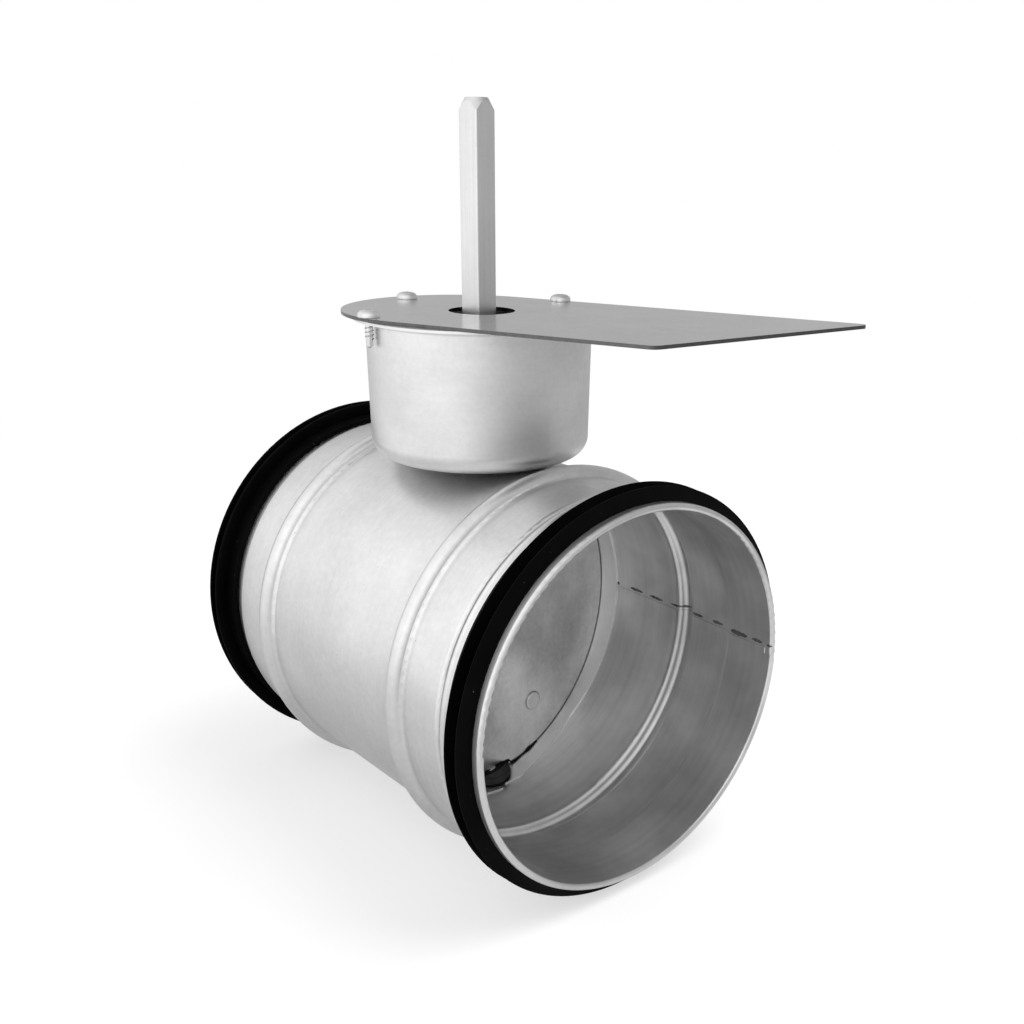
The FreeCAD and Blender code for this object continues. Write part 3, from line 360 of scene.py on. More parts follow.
def insideMarks(tree, place, values):
    # The colour of the wall's inner side: broad clouds and faint rolled bands.
    contrast = values["insideContrast"]
    broad = placeGroup(tree, cloudGroup, place, Scale=values["insideScale"], Contrast=contrast)
    rolled = placeGroup(tree, grainGroup, place, Stretch=values["insideLines"])
    bands = spread(tree, rolled.outputs["Grain"], surfaceShape["bandGain"])
    shares = surfaceShape["insideClouds"], surfaceShape["insideBands"]
    marks = blendOf(tree, zip((broad.outputs["Cloud"], bands), shares))
    return mixColour(tree, marks, grey(values["insideDark"]), grey(values["insideLight"]))


def makeMetal(name, values):
    # Zinc or steel: clouds, mottling and drawn lines in its colour and gloss, and a soft unevenness in its
    # relief. A finish may have marks of its own inside the duct, or a dark cut edge.
    material, tree, shader, place = newMaterial(name)
    cloud = placeGroup(tree, cloudGroup, place, Scale=values["cloudScale"], Contrast=values["cloudContrast"])
    grain = placeGroup(tree, grainGroup, place, Stretch=values["stretch"])
    speck = placeGroup(tree, speckGroup, place, Scale=surfaceShape["metalSpecks"], Amount=values["specks"])
    layers = cloud.outputs["Cloud"], cloud.outputs["Mottle"], grain.outputs["Grain"]
    mixed = blendOf(tree, zip(layers, values["shares"]))
    colour = mixColour(tree, mixed, grey(values["dark"]), grey(values["light"]))
    if "insideDark" in values:
        inside = mathNode(tree, "MULTIPLY", insideMask(tree, place), values["insideShare"])
        colour = mixColour(tree, inside, colour, insideMarks(tree, place, values))
    if "cutEdge" in values:
        darkest = grey(values["cutEdge"] * surfaceShape["cutDark"])
        cut = mixColour(tree, grain.outputs["Grain"], darkest, grey(values["cutEdge"]))
        colour = mixColour(tree, edgeMask(tree), colour, cut)
    speckTone = grey(values["dark"] * surfaceShape["speckDark"])
    dusty = mixColour(tree, speck.outputs["Speck"], colour, speckTone)
    tree.links.new(dusty, shader.inputs["Base Color"])
    shader.inputs["Metallic"].default_value = values.get("metallic", 1.0)
    setGloss(tree, shader, mixed, values)
    unevenness = blendOf(tree, zip(layers, values["reliefs"]))
    setRelief(tree, shader, unevenness, values["relief"], values["reliefDepth"])
    return material


def makeRubber(name, values):
    # Black rubber or plastic with a faint bloom, a fine surface and a little dust.
    material, tree, shader, place = newMaterial(name)
    contrast = surfaceShape["rubberClouds"]
    cloud = placeGroup(tree, cloudGroup, place, Scale=values["cloudScale"], Contrast=contrast)
    grain = placeGroup(tree, grainGroup, place, Stretch=values["stretch"])
    speck = placeGroup(tree, speckGroup, place, Scale=surfaceShape["rubberSpecks"], Amount=values["dust"])
    colour = mixColour(tree, cloud.outputs["Cloud"], grey(values["dark"]), grey(values["light"]))
    dusty = mixColour(tree, speck.outputs["Speck"], colour, grey(values["dustTone"]))
    tree.links.new(dusty, shader.inputs["Base Color"])
    shader.inputs["Specular IOR Level"].default_value = values["sheen"]
    setGloss(tree, shader, cloud.outputs["Cloud"], values)
    setRelief(tree, shader, grain.outputs["Grain"], values["relief"], surfaceShape["rubberRelief"])
    return material


# Finishes. Levels are linear greys, and scales and stretches are repeats per metre. Shares and reliefs are
# those of the clouds, the mottling and the grain.

tubeZinc = {
    "dark": 0.58, "light": 0.86, "specks": 0.2,
    "cloudScale": 24.0, "cloudContrast": 0.8, "stretch": (1500.0, 9.0, 9.0),
    "shares": (0.40, 0.28, 0.32), "gloss": 0.28, "matt": 0.44,
    "relief": 0.22, "reliefDepth": 0.0002, "reliefs": (0.5, 0.03, 0.03),
    "insideDark": 0.50, "insideLight": 1.0, "insideShare": 0.65, "insideScale": 24.0, "insideContrast": 1.2,
    "insideLines": (330.0, 2.5, 2.5),
}
cupZinc = {
    "dark": 0.62, "light": 0.86, "specks": 0.15,
    "cloudScale": 30.0, "cloudContrast": 0.8, "stretch": (60.0, 60.0, 420.0),
    "shares": (0.45, 0.25, 0.30), "gloss": 0.34, "matt": 0.50,
    "relief": 0.4, "reliefDepth": 0.0002, "reliefs": (0.5, 0.04, 0.04),
}
plateZinc = {
    "dark": 0.58, "light": 0.74, "specks": 0.25,
    "cloudScale": 60.0, "cloudContrast": 0.7, "stretch": (700.0, 700.0, 700.0),
    "shares": (0.35, 0.30, 0.35), "gloss": 0.14, "matt": 0.24,
    "relief": 0.2, "reliefDepth": 0.0001, "reliefs": (0.35, 0.15, 0.2), "cutEdge": 0.16,
}
bladeZinc = {
    "dark": 0.44, "light": 0.80, "specks": 0.25,
    "cloudScale": 30.0, "cloudContrast": 1.2, "stretch": (30.0, 700.0, 30.0),
    "shares": (0.55, 0.30, 0.15), "gloss": 0.28, "matt": 0.50,
    "relief": 0.4, "reliefDepth": 0.0004, "reliefs": (0.7, 0.06, 0.04),
}
# The seat strips' zinc, set near white, paler than the duct's. Its colour paints in the light that the
# strips catch inside the duct.
stripZincPaintedLight = {
    "dark": 0.90, "light": 0.99, "specks": 0.1,
    "cloudScale": 40.0, "cloudContrast": 0.8, "stretch": (1500.0, 12.0, 12.0),
    "shares": (0.45, 0.25, 0.30), "gloss": 0.28, "matt": 0.42,
    "relief": 0.25, "reliefDepth": 0.0002, "reliefs": (0.5, 0.05, 0.05),
}
brightZinc = {
    "dark": 0.60, "light": 0.84, "specks": 0.15,
    "cloudScale": 160.0, "cloudContrast": 0.9, "stretch": (900.0, 900.0, 900.0),
    "shares": (0.4, 0.3, 0.3), "gloss": 0.30, "matt": 0.46,
    "relief": 0.25, "reliefDepth": 0.0002, "reliefs": (0.4, 0.2, 0.2),
}
brightBar = {
    "dark": 0.60, "light": 0.84, "specks": 0.1,
    "cloudScale": 60.0, "cloudContrast": 0.8, "stretch": (1700.0, 1700.0, 22.0),
    "shares": (0.2, 0.15, 0.65), "gloss": 0.30, "matt": 0.46,
    "relief": 0.25, "reliefDepth": 0.0002, "reliefs": (0.3, 0.05, 0.35),
}
springSteel = {
    "dark": 0.18, "light": 0.30, "specks": 0.2,
    "cloudScale": 120.0, "cloudContrast": 0.9, "stretch": (800.0, 800.0, 800.0),
    "shares": (0.4, 0.3, 0.3), "gloss": 0.24, "matt": 0.40,
    "relief": 0.2, "reliefDepth": 0.0002, "reliefs": (0.3, 0.2, 0.3),
}
weldSteel = {
    "dark": 0.08, "light": 0.34, "specks": 0.4,
    "cloudScale": 420.0, "cloudContrast": 1.2, "stretch": (1500.0, 1500.0, 1500.0),
    "shares": (0.4, 0.3, 0.3), "gloss": 0.40, "matt": 0.70, "metallic": 0.7,
    "relief": 0.5, "reliefDepth": 0.0002, "reliefs": (0.7, 0.2, 0.4),
}
gasketRubber = {
    "dark": 0.002, "light": 0.004, "dustTone": 0.20, "dust": 0.25, "cloudScale": 55.0,
    "stretch": (2200.0, 40.0, 40.0), "gloss": 0.30, "matt": 0.46, "sheen": 0.03, "relief": 0.2,
}
sealRubber = {
    "dark": 0.004, "light": 0.008, "dustTone": 0.14, "dust": 0.25, "cloudScale": 120.0,
    "stretch": (700.0, 700.0, 700.0), "gloss": 0.42, "matt": 0.62, "sheen": 0.10, "relief": 0.3,
}
bushPlastic = {
    "dark": 0.018, "light": 0.034, "dustTone": 0.16, "dust": 0.2, "cloudScale": 200.0,
    "stretch": (900.0, 900.0, 900.0), "gloss": 0.40, "matt": 0.56, "sheen": 0.30, "relief": 0.2,
}

finishes = {
    "tubeZinc": makeMetal("tubeZinc", tubeZinc),
    "cupZinc": makeMetal("cupZinc", cupZinc),
    "plateZinc": makeMetal("plateZinc", plateZinc),
    "bladeZinc": makeMetal("bladeZinc", bladeZinc),
    "stripZincPaintedLight": makeMetal("stripZincPaintedLight", stripZincPaintedLight),
    "brightZinc": makeMetal("brightZinc", brightZinc),
    "brightBar": makeMetal("brightBar", brightBar),
    "springSteel": makeMetal("springSteel", springSteel),
    "weldSteel": makeMetal("weldSteel", weldSteel),
    "gasketRubber": makeRubber("gasketRubber", gasketRubber),
    "sealRubber": makeRubber("sealRubber", sealRubber),
    "bushPlastic": makeRubber("bushPlastic", bushPlastic),
}

nodeFinish = {
    "duct_body": "tubeZinc", "seat_strips": "stripZincPaintedLight", "spacer_cup": "cupZinc",
    "actuator_plate": "plateZinc", "front_gasket": "gasketRubber", "rear_gasket": "gasketRubber",
    "cup_seat_pad": "sealRubber", "cup_rivets": "brightZinc", "plate_screws": "brightZinc",
    "upper_bush": "bushPlastic", "lower_bush": "bushPlastic", "upper_bush_gasket": "sealRubber",
    "lower_bush_gasket": "sealRubber", "shaft_o_ring": "sealRubber", "bush_nut": "brightZinc",
    "lower_bush_ring": "brightZinc", "drive_shaft": "brightBar", "shaft_sleeve": "bushPlastic",
    "sleeve_clip": "springSteel", "pivot_pin": "brightBar", "blade_front_disc": "bladeZinc",
    "blade_seal": "sealRubber", "blade_rear_disc": "bladeZinc", "upper_bracket": "brightZinc",
    "lower_bracket": "brightZinc", "blade_rivets": "brightZinc",
}


def paintNodes():
    for name, finish in nodeFinish.items():
        mesh = nodes[name].data
        mesh.materials.clear()
        mesh.materials.append(finishes[finish])


paintNodes()
print("finishes:", len(finishes))

# Blade face: the front sheet, a little wider than the solid's, and the rubber's wavy edge along its ends

bladeFace = {
    "tilt": 7.0,  # the closed blade's turn from square to the duct
    "middle": 0.5,  # how far in front of the shaft's axis the blade's middle stands
    "front": 2.5,  # how far in front of that axis the sheet's face stands
    "builtRadius": 60.2,  # the solid's
    "radius": 60.6,
    "edgeBand": 0.1,  # corners this near the built edge move out with it
    "faceBand": 0.01,  # corners this near the foremost one lie on the front face
    "sharpAbove": 57,
    "edgeRound": 0.25,
    "roundSteps": 2,
    "smoothBelow": 12,
}
wavyLip = {
    "notches": (
        # name, half the notch, its height, which end, how far it bulges forward, seed
        ("lowerSealEdge", 10.2, 57.75, -1, 2.3, 11),
        ("upperSealEdge", 12.7, 56.8, 1, 0.0, 12),
    ),
    "reach": 25.0,  # how far along the blade's edge it shows, from the middle
    "columns": 160,  # of the grid that it is shaped from
    "rows": 3,
    "waves": 7,
    "rates": (0.25, 1.5),  # radians for each millimetre
    "phases": (0, 6.3),  # radians
    "shares": (0.3, 1.0),
    "cover": 0.12,  # how far it laps over the sheet
    "wave": 0.5,  # how much the waves add to that
    "waveLift": 0.35,  # raises the waves, so that they add more than they take
    "rimCover": 0.15,  # added beside the notch
    "leastCover": 0.05,
    "blendBefore": 0.6,  # where the notch starts to go over into the round rim
    "blendOver": 2.0,
    "fadeOver": 6,  # how far from its ends it starts to run out
    "bulgeHalf": 8,  # half the bulge's width
    "stand": 0.35,  # in front of the sheet
    "ripple": 0.12,  # how far the waves move it forward and back
    "behind": 0.12,  # how far it reaches past the notch's edge
    "thickness": 0.3,
    "smoothBelow": 60,
}


def bladeTurn():
    return Matrix.Rotation(math.radians(bladeFace["tilt"]), 3, "Z")


def makeBladeFace():
    bm = bmesh.new()
    bm.from_mesh(nodes["blade_front_disc"].data)
    clean(bm)
    turn = bladeTurn()
    lean = math.cos(math.radians(bladeFace["tilt"]))
    shift = -bladeFace["middle"] * math.tan(math.radians(bladeFace["tilt"])) * mm
    grow = bladeFace["radius"] / bladeFace["builtRadius"]
    inner = (bladeFace["builtRadius"] - bladeFace["edgeBand"]) * mm
    bmesh.ops.rotate(bm, cent=(0, 0, 0), matrix=turn.transposed(), verts=bm.verts)
    for vert in bm.verts:
        if math.hypot((vert.co.y - shift) * lean, vert.co.z) > inner:
            vert.co.y *= grow
            vert.co.z *= grow
    front = max(vert.co.x for vert in bm.verts) - bladeFace["faceBand"] * mm
    rim = [
        edge for edge in bm.edges
        if all(vert.co.x > front for vert in edge.verts)
        and edge.calc_face_angle(0) > math.radians(bladeFace["sharpAbove"])
    ]
    bmesh.ops.bevel(
        bm, geom=rim, offset=bladeFace["edgeRound"] * mm, offset_type="OFFSET",
        segments=bladeFace["roundSteps"], affect="EDGES", profile=0.5, material=-1, clamp_overlap=True,
    )
    bmesh.ops.rotate(bm, cent=(0, 0, 0), matrix=turn, verts=bm.verts)
    piece = finishPiece(bm, "bladeFace", "blade", finishes["bladeZinc"], bladeFace["smoothBelow"])
    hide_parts("blade_front_disc")


def makeWavyLip(name, halfNotch, height, end, bulge, seed):
    lip = wavyLip
    roll = random.Random(seed)
    waves = [
        (roll.uniform(*lip["rates"]), roll.uniform(*lip["phases"]), roll.uniform(*lip["shares"]))
        for count in range(lip["waves"])
    ]
    total = sum(share for rate, phase, share in waves)
    bm = bmesh.new()
    bmesh.ops.create_grid(bm, x_segments=lip["columns"], y_segments=lip["rows"], size=1.0)
    for vert in bm.verts:
        side = vert.co.x * lip["reach"]
        up = (vert.co.y + 1) / 2
        wave = sum(math.sin(side * rate + phase) * share for rate, phase, share in waves) / total
        rim = math.sqrt(bladeFace["radius"] ** 2 - side ** 2)
        blend = min(max((abs(side) - halfNotch + lip["blendBefore"]) / lip["blendOver"], 0), 1)
        edge = height + (rim - height) * blend * blend * (3 - 2 * blend)
        fade = min((lip["reach"] - abs(side)) / lip["fadeOver"], 1)
        cover = (lip["cover"] + lip["wave"] * (wave + lip["waveLift"]) + lip["rimCover"] * blend) * fade
        swell = bulge * max(1 - (side / lip["bulgeHalf"]) ** 2, 0) * (1 - up)
        forward = swell + lip["stand"] + lip["ripple"] * wave
        level = edge + lip["behind"] - up * (max(cover, lip["leastCover"]) + lip["behind"])
        vert.co = ((bladeFace["front"] + forward) * mm, side * mm, end * level * mm)
    bmesh.ops.solidify(bm, geom=bm.faces[:], thickness=lip["thickness"] * mm)
    bmesh.ops.rotate(bm, cent=(0, 0, 0), matrix=bladeTurn(), verts=bm.verts)
    clean(bm, mergeFine)
    piece = finishPiece(bm, name, "blade", finishes["sealRubber"], lip["smoothBelow"])


makeBladeFace()
for notch in wavyLip["notches"]:
    makeWavyLip(*notch)
print("blade face made")

# Weld marks: a row of low dark dashes along the duct's seam, inside and outside, front half and rear half

weldMarks = {
    "angle": 2.2,  # from the duct's side towards its top
    "runs": (
        # start, end, width
        (11.0, 17.8, 1.1), (21.4, 28.5, 1.0), (32.6, 40.4, 0.9), (43.7, 48.7, 1.1),
        (53.4, 58.4, 1.1), (63.3, 70.9, 1.8), (73.0, 77.7, 1.2), (79.6, 81.7, 1.0),
    ),
    "nick": (3.7, 5.0, 1.1),  # inside the front half only
    "stand": 0.14,
    "wander": 0.35,  # how uneven the outline is, as a share
    "shift": 0.4,  # how far a dash may stray along the duct
    "swing": 0.15,  # and round it
    "segments": 14,
    "rings": 16,
    "wallRadius": 61.5,  # turns a width into an angle
    "raysFrom": 90.0,  # where the rays from outside start, from the axis
    "missRadius": 60.0,  # where a ray finds no wall, as at a hole
    "seed": 5,
    "smoothBelow": 80,
}


def wallAt(wall, along, outward, outside):
    # The distance of the wall's outer or inner surface from the duct's axis, in metres.
    axis = Vector((along, 0, 0))
    if outside:
        hit = wall.ray_cast(axis + outward * (weldMarks["raysFrom"] * mm), -outward)[0]
    else:
        hit = wall.ray_cast(axis, outward)[0]
    return (hit - axis).length if hit else weldMarks["missRadius"] * mm


def makeWeldMarks():
    duct = bmesh.new()
    duct.from_mesh(nodes["duct_body"].data)
    wall = BVHTree.FromBMesh(duct)
    duct.free()
    marks = weldMarks
    roll = random.Random(marks["seed"])
    bm = bmesh.new()
    for way in (1, -1):
        for outside in (False, True):
            runs = marks["runs"] + ((marks["nick"],) if way > 0 and not outside else ())
            for start, end, width in runs:
                start += roll.uniform(-marks["shift"], marks["shift"]) if way < 0 or outside else 0
                middle = math.radians(marks["angle"] + roll.uniform(-marks["swing"], marks["swing"]))
                dash = bmesh.ops.create_uvsphere(
                    bm, u_segments=marks["segments"], v_segments=marks["rings"], radius=1.0
                )["verts"]
                for vert in dash:
                    lump = 1 + marks["wander"] * (roll.random() - 0.5) * 2
                    along = way * (start + (end - start) * (vert.co.z + 1) / 2) * mm
                    turn = middle + width / 2 * vert.co.y * lump / marks["wallRadius"]
                    outward = Vector((0, math.cos(turn), math.sin(turn)))
                    stand = marks["stand"] * vert.co.x * lump * mm
                    radius = wallAt(wall, along, outward, outside)
                    vert.co = Vector((along, 0, 0)) + outward * (radius + (stand if outside else -stand))
    clean(bm, mergeFine)
    piece = finishPiece(bm, "weldMarks", "casing", finishes["weldSteel"], marks["smoothBelow"])


makeWeldMarks()
print("weld marks made")

# Plate screws: pan head with a cross recess, a rolled thread and a drill point

screwSizes = {
    "places": ((-0.005316, -0.037828), (-0.038116, -0.002532), (-0.004457, 0.037939)),  # metres
    "turns": (20, 65, 40),  # how each recess stands
    "seat": 0.1088,  # metres, the plate's top
    "shank": 1.15,  # radii: shank, crest, headRadius, headBore
    "crest": 1.50,
    "pitch": 1.25,
    "length": 9.5,
    "drill": 2.6,  # the drill point's length
    "drillShare": 0.9,  # its radius, as a share of the shank's
    "drillCone": 0.8,  # the length of its tip
    "shankTop": 0.2,  # how far the shank reaches into the head
    "shankSteps": 24,
    "threadHalf": 0.28,  # half the ridge's height
    "threadSink": 0.05,  # how deep the ridge's feet stand in the shank
    "threadFrom": 0.3,  # where the thread starts, from the drill point
    "threadShort": 0.2,  # turns that are left out below the head
    "threadSteps": 20,  # in each turn
    "headRadius": 3.5,
    "headBore": 1.0,
    "headHeight": 2.3,
    "headSide": 0.55,  # the height where the dome starts
    "headBreak": 0.15,  # of the lower edge
    "headSteps": 40,
    "domeSteps": 9,
    "domePower": 0.7,
    "axisRadius": 0.0001,  # where an outline ends on the axis
    "recessArm": 1.9,
    "recessWidth": 0.62,
    "recessDepth": 1.2,
    "recessFoot": 0.35,  # an arm's length at its foot, as a share
    "cutterHeight": 3,
    "smoothBelow": 40,
}


def spunProfile(bm, points, steps):
    # Spins an open outline of (radius, height) points round Z.
    verts = [bm.verts.new((radius * mm, 0, height * mm)) for radius, height in points]
    edges = [bm.edges.new(pair) for pair in zip(verts, verts[1:])]
    bmesh.ops.spin(
        bm, geom=verts + edges, cent=(0, 0, 0), axis=(0, 0, 1), angle=2 * math.pi, steps=steps,
        use_merge=True,
    )


def screwHeadOutline():
    screw = screwSizes
    radius, height, side = screw["headRadius"], screw["headHeight"], screw["headSide"]
    cut = screw["headBreak"]
    outline = [(screw["headBore"], 0.0), (radius - cut, 0.0), (radius, cut), (radius, side)]
    for step in range(1, screw["domeSteps"] + 1):
        turn = math.radians(step * 90 / screw["domeSteps"])
        reach = math.cos(turn) ** screw["domePower"]
        outline.append((radius * reach, side + (height - side) * math.sin(turn)))
    outline[-1] = (screw["axisRadius"], height)
    return outline


def makeRecessCutter():
    # Two crossed bars that narrow towards their feet.
    screw = screwSizes
    bm = bmesh.new()
    size = (screw["recessArm"] * 2 * mm, screw["recessWidth"] * mm, screw["cutterHeight"] * mm)
    foot = screw["headHeight"] - screw["recessDepth"]
    for angle in (0, 90):
        arm = bmesh.ops.create_cube(bm, size=1.0)["verts"]
        bmesh.ops.scale(bm, vec=size, verts=arm)
        for vert in arm:
            if vert.co.z < 0:
                vert.co.x *= screw["recessFoot"]
        turn = Matrix.Rotation(math.radians(angle), 3, "Z")
        bmesh.ops.translate(bm, vec=(0, 0, foot * mm + size[2] / 2), verts=arm)
        bmesh.ops.rotate(bm, cent=(0, 0, 0), matrix=turn, verts=arm)
    return newObject(bm, "recessCutter")


def makeHead():
    # A pan head with a cross recess, as a bmesh that stands on the height 0.
    bm = bmesh.new()
    spunProfile(bm, screwHeadOutline(), screwSizes["headSteps"])
    clean(bm)
    blank = newObject(bm, "headBlank")
    cutter = makeRecessCutter()
    cut = blank.modifiers.new("recess", "BOOLEAN")
    cut.object = cutter
    cut.operation = "DIFFERENCE"
    cut.solver = "EXACT"
    cut.use_self = True
    bpy.context.view_layer.update()
    evaluated = blank.evaluated_get(bpy.context.evaluated_depsgraph_get())
    head = bmesh.new()
    head.from_mesh(evaluated.to_mesh())
    evaluated.to_mesh_clear()
    for thing in (blank, cutter):
        bpy.data.objects.remove(thing)
    return head


def addShank(bm):
    # Adds a shank with a drill point and a rolled thread below the height 0.
    screw = screwSizes
    length, drill, shank = screw["length"], screw["drill"], screw["shank"]
    pointed = shank * screw["drillShare"]
    body = bmesh.new()
    point = [(screw["axisRadius"], -length), (pointed, -length + screw["drillCone"])]
    straight = [(pointed, -length + drill), (shank, -length + drill), (shank, screw["shankTop"])]
    spunProfile(body, point + straight, screw["shankSteps"])
    clean(body)
    turns = (length - drill) / screw["pitch"] - screw["threadShort"]
    root = shank - screw["threadSink"]
    ridge = [(root, -screw["threadHalf"]), (screw["crest"], 0.0), (root, screw["threadHalf"])]
    lift = screw["threadFrom"]
    verts = [
        body.verts.new((radius * mm, 0, (height - length + drill + lift) * mm)) for radius, height in ridge
    ]
    edges = [body.edges.new(pair) for pair in zip(verts, verts[1:])]
    steps = int(turns * screw["threadSteps"])
    rise = screw["pitch"] * turns / steps * mm
    bmesh.ops.spin(
        body, geom=verts + edges, cent=(0, 0, 0), axis=(0, 0, 1), dvec=(0, 0, rise),
        angle=turns * 2 * math.pi, steps=steps, use_merge=False,
    )
    bmesh.ops.recalc_face_normals(body, faces=body.faces)
    mesh = bpy.data.meshes.new("shankBlank")
    body.to_mesh(mesh)
    body.free()
    bm.from_mesh(mesh)
    bpy.data.meshes.remove(mesh)


def makeScrew(index, place, turn):
    bm = makeHead()
    addShank(bm)
    stand = Matrix.Rotation(math.radians(turn), 3, "Z")
    bmesh.ops.rotate(bm, cent=(0, 0, 0), matrix=stand, verts=bm.verts)
    bmesh.ops.translate(bm, vec=(place[0], place[1], screwSizes["seat"]), verts=bm.verts)
    smoothBelow = screwSizes["smoothBelow"]
    piece = finishPiece(bm, f"plateScrew{index}", "casing", finishes["brightZinc"], smoothBelow)
    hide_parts("plate_screws")


for index, (place, turn) in enumerate(zip(screwSizes["places"], screwSizes["turns"]), start=1):
    makeScrew(index, place, turn)
print("plate screws made")

# Floor, light tent, sky and lamps. Places and sizes are in metres

studio = {
    "floorLevel": -0.0669,
    "floorSize": 6.0,
    "floorTone": 0.46,
    "floorRoughness": 0.9,
    "floorGlow": (0.59, 0.26),  # what the camera sees, and what metal shows of it
    "fadeFrom": 0.26,  # where the floor starts to go over into plain white, from the duct's middle
    "fadeTo": 0.75,
    "sky": 0.60,
    "tentRadius": 0.36,
    "tentSegments": 48,
    "tentRings": 24,
    "tentTone": 0.43,
    "tentPatches": (
        # azimuth, height, half width, softness, level that is added
        (-102, 34, 50, 40, 0.78),
        (-35, 38, 35, 30, 0.24),
        (140, 12, 45, 30, 0.08),
        (55, 10, 45, 30, 0.06),
        (0, 90, 25, 20, -0.22),
    ),
    "lamps": (
        # name, place, aim, width, height, watts
        ("keyLamp", (-0.75, -0.85, 0.95), (0, 0, 0.03), 1.1, 1.1, 4.0),
        ("topLamp", (0.50, 0.45, 1.20), (0, 0, 0.0), 0.9, 0.9, 12.0),
    ),
}


def addStage(bm, name):
    # A piece of the studio with a paper of its own, and that material's tree.
    thing = newObject(bm, name)
    material = bpy.data.materials.new(name + "Paper")
    material.use_nodes = True
    thing.data.materials.append(material)
    return thing, material.node_tree


def raysOf(tree, *kinds):
    # 1 for rays of the kinds that are named.
    path = tree.nodes.new("ShaderNodeLightPath")
    total = path.outputs[f"Is {kinds[0]} Ray"]
    for kind in kinds[1:]:
        total = mathNode(tree, "ADD", total, path.outputs[f"Is {kind} Ray"], clamp=True)
    return total


def seenDirectly(tree):
    # 1 for what the camera sees, and for what metal or glass shows of it.
    return raysOf(tree, "Camera", "Glossy", "Transmission")


def makeFloor():
    # Paper that takes shadows, with a glow of its own, and plain white farther out.
    bm = bmesh.new()
    bmesh.ops.create_grid(bm, x_segments=1, y_segments=1, size=studio["floorSize"] / 2)
    bmesh.ops.translate(bm, vec=(0, 0, studio["floorLevel"]), verts=bm.verts)
    tree = addStage(bm, "floor")[1]
    shader = tree.nodes["Principled BSDF"]
    shader.inputs["Base Color"].default_value = grey(studio["floorTone"])
    shader.inputs["Roughness"].default_value = studio["floorRoughness"]
    shader.inputs["Specular IOR Level"].default_value = 0.0
    seen = seenDirectly(tree)
    glow = tree.nodes.new("ShaderNodeEmission")
    mirrored = raysOf(tree, "Glossy", "Transmission")
    strength = blendOf(tree, zip((raysOf(tree, "Camera"), mirrored), studio["floorGlow"]))
    tree.links.new(strength, glow.inputs["Strength"])
    near = tree.nodes.new("ShaderNodeAddShader")
    tree.links.new(shader.outputs["BSDF"], near.inputs[0])
    tree.links.new(glow.outputs["Emission"], near.inputs[1])
    white = tree.nodes.new("ShaderNodeEmission")
    coordinates = tree.nodes.new("ShaderNodeTexCoord")
    flat = tree.nodes.new("ShaderNodeVectorMath")
    flat.operation = "LENGTH"
    tree.links.new(coordinates.outputs["Object"], flat.inputs[0])
    fade = tree.nodes.new("ShaderNodeMapRange")
    fade.interpolation_type = "SMOOTHSTEP"
    fade.inputs["From Min"].default_value = studio["fadeFrom"]
    fade.inputs["From Max"].default_value = studio["fadeTo"]
    tree.links.new(flat.outputs["Value"], fade.inputs["Value"])
    blend = tree.nodes.new("ShaderNodeMixShader")
    tree.links.new(mathNode(tree, "MULTIPLY", fade.outputs["Result"], seen), blend.inputs["Fac"])
    tree.links.new(near.outputs["Shader"], blend.inputs[1])
    tree.links.new(white.outputs["Emission"], blend.inputs[2])
    tree.links.new(blend.outputs["Shader"], tree.nodes["Material Output"].inputs["Surface"])


def directionOf(azimuth, height):
    turn, rise = math.radians(azimuth), math.radians(height)
    return math.cos(rise) * math.cos(turn), math.cos(rise) * math.sin(turn), math.sin(rise)


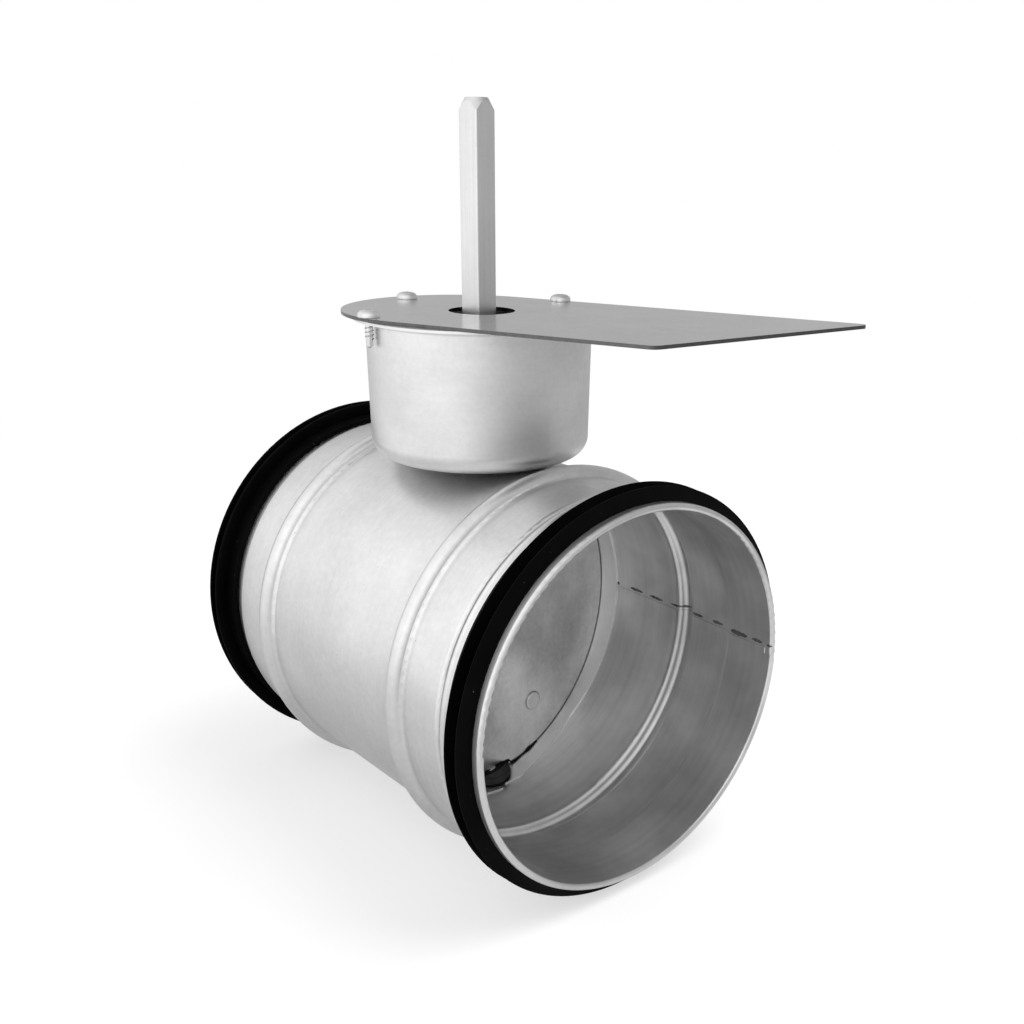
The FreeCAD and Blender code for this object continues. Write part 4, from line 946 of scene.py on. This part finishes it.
def makeTent():
    # A light tent that only reflections see: a grey shell with soft bright and dark patches.
    bm = bmesh.new()
    bmesh.ops.create_uvsphere(
        bm, u_segments=studio["tentSegments"], v_segments=studio["tentRings"], radius=studio["tentRadius"]
    )
    tent, tree = addStage(bm, "tent")
    coordinates = tree.nodes.new("ShaderNodeTexCoord")
    outward = tree.nodes.new("ShaderNodeVectorMath")
    outward.operation = "NORMALIZE"
    tree.links.new(coordinates.outputs["Object"], outward.inputs[0])
    level = None
    for azimuth, height, width, soft, added in studio["tentPatches"]:
        facing = tree.nodes.new("ShaderNodeVectorMath")
        facing.operation = "DOT_PRODUCT"
        tree.links.new(outward.outputs["Vector"], facing.inputs[0])
        facing.inputs[1].default_value = directionOf(azimuth, height)
        patch = tree.nodes.new("ShaderNodeMapRange")
        patch.interpolation_type = "SMOOTHSTEP"
        patch.inputs["From Min"].default_value = math.cos(math.radians(width + soft))
        patch.inputs["From Max"].default_value = math.cos(math.radians(max(width - soft, 0)))
        patch.inputs["To Max"].default_value = added
        tree.links.new(facing.outputs["Value"], patch.inputs["Value"])
        part = patch.outputs["Result"]
        level = mathNode(tree, "ADD", part, studio["tentTone"] if level is None else level)
    glow = tree.nodes.new("ShaderNodeEmission")
    tree.links.new(level, glow.inputs["Strength"])
    tree.links.new(glow.outputs["Emission"], tree.nodes["Material Output"].inputs["Surface"])
    tent.data.materials[0].cycles.emission_sampling = "NONE"
    tent.visible_camera = False
    tent.visible_diffuse = False
    tent.visible_shadow = False


def makeWorld():
    # White where it is seen, and a weaker light on everything else.
    world = bpy.data.worlds.new("studioSky")
    bpy.context.scene.world = world
    world.use_nodes = True
    tree = world.node_tree
    sky = tree.nodes["Background"]
    sky.inputs["Color"].default_value = grey(1.0)
    sky.inputs["Strength"].default_value = studio["sky"]
    white = tree.nodes.new("ShaderNodeBackground")
    white.inputs["Color"].default_value = grey(1.0)
    white.inputs["Strength"].default_value = 1.0
    blend = tree.nodes.new("ShaderNodeMixShader")
    tree.links.new(seenDirectly(tree), blend.inputs["Fac"])
    tree.links.new(sky.outputs["Background"], blend.inputs[1])
    tree.links.new(white.outputs["Background"], blend.inputs[2])
    tree.links.new(blend.outputs["Shader"], tree.nodes["World Output"].inputs["Surface"])


def makeLamps():
    for name, place, aim, width, height, watts in studio["lamps"]:
        data = bpy.data.lights.new(name, "AREA")
        data.shape = "RECTANGLE"
        data.size, data.size_y = width, height
        data.energy = watts
        lamp = bpy.data.objects.new(name, data)
        bpy.context.scene.collection.objects.link(lamp)
        lamp.location = place
        lamp.rotation_mode = "QUATERNION"
        lamp.rotation_quaternion = (Vector(aim) - Vector(place)).to_track_quat("-Z", "Y")
        lamp.visible_glossy = False  # the tent's patches show in the metal instead


makeFloor()
makeTent()
makeWorld()
makeLamps()
bpy.context.scene.view_settings.view_transform = "Standard"
print("studio set")
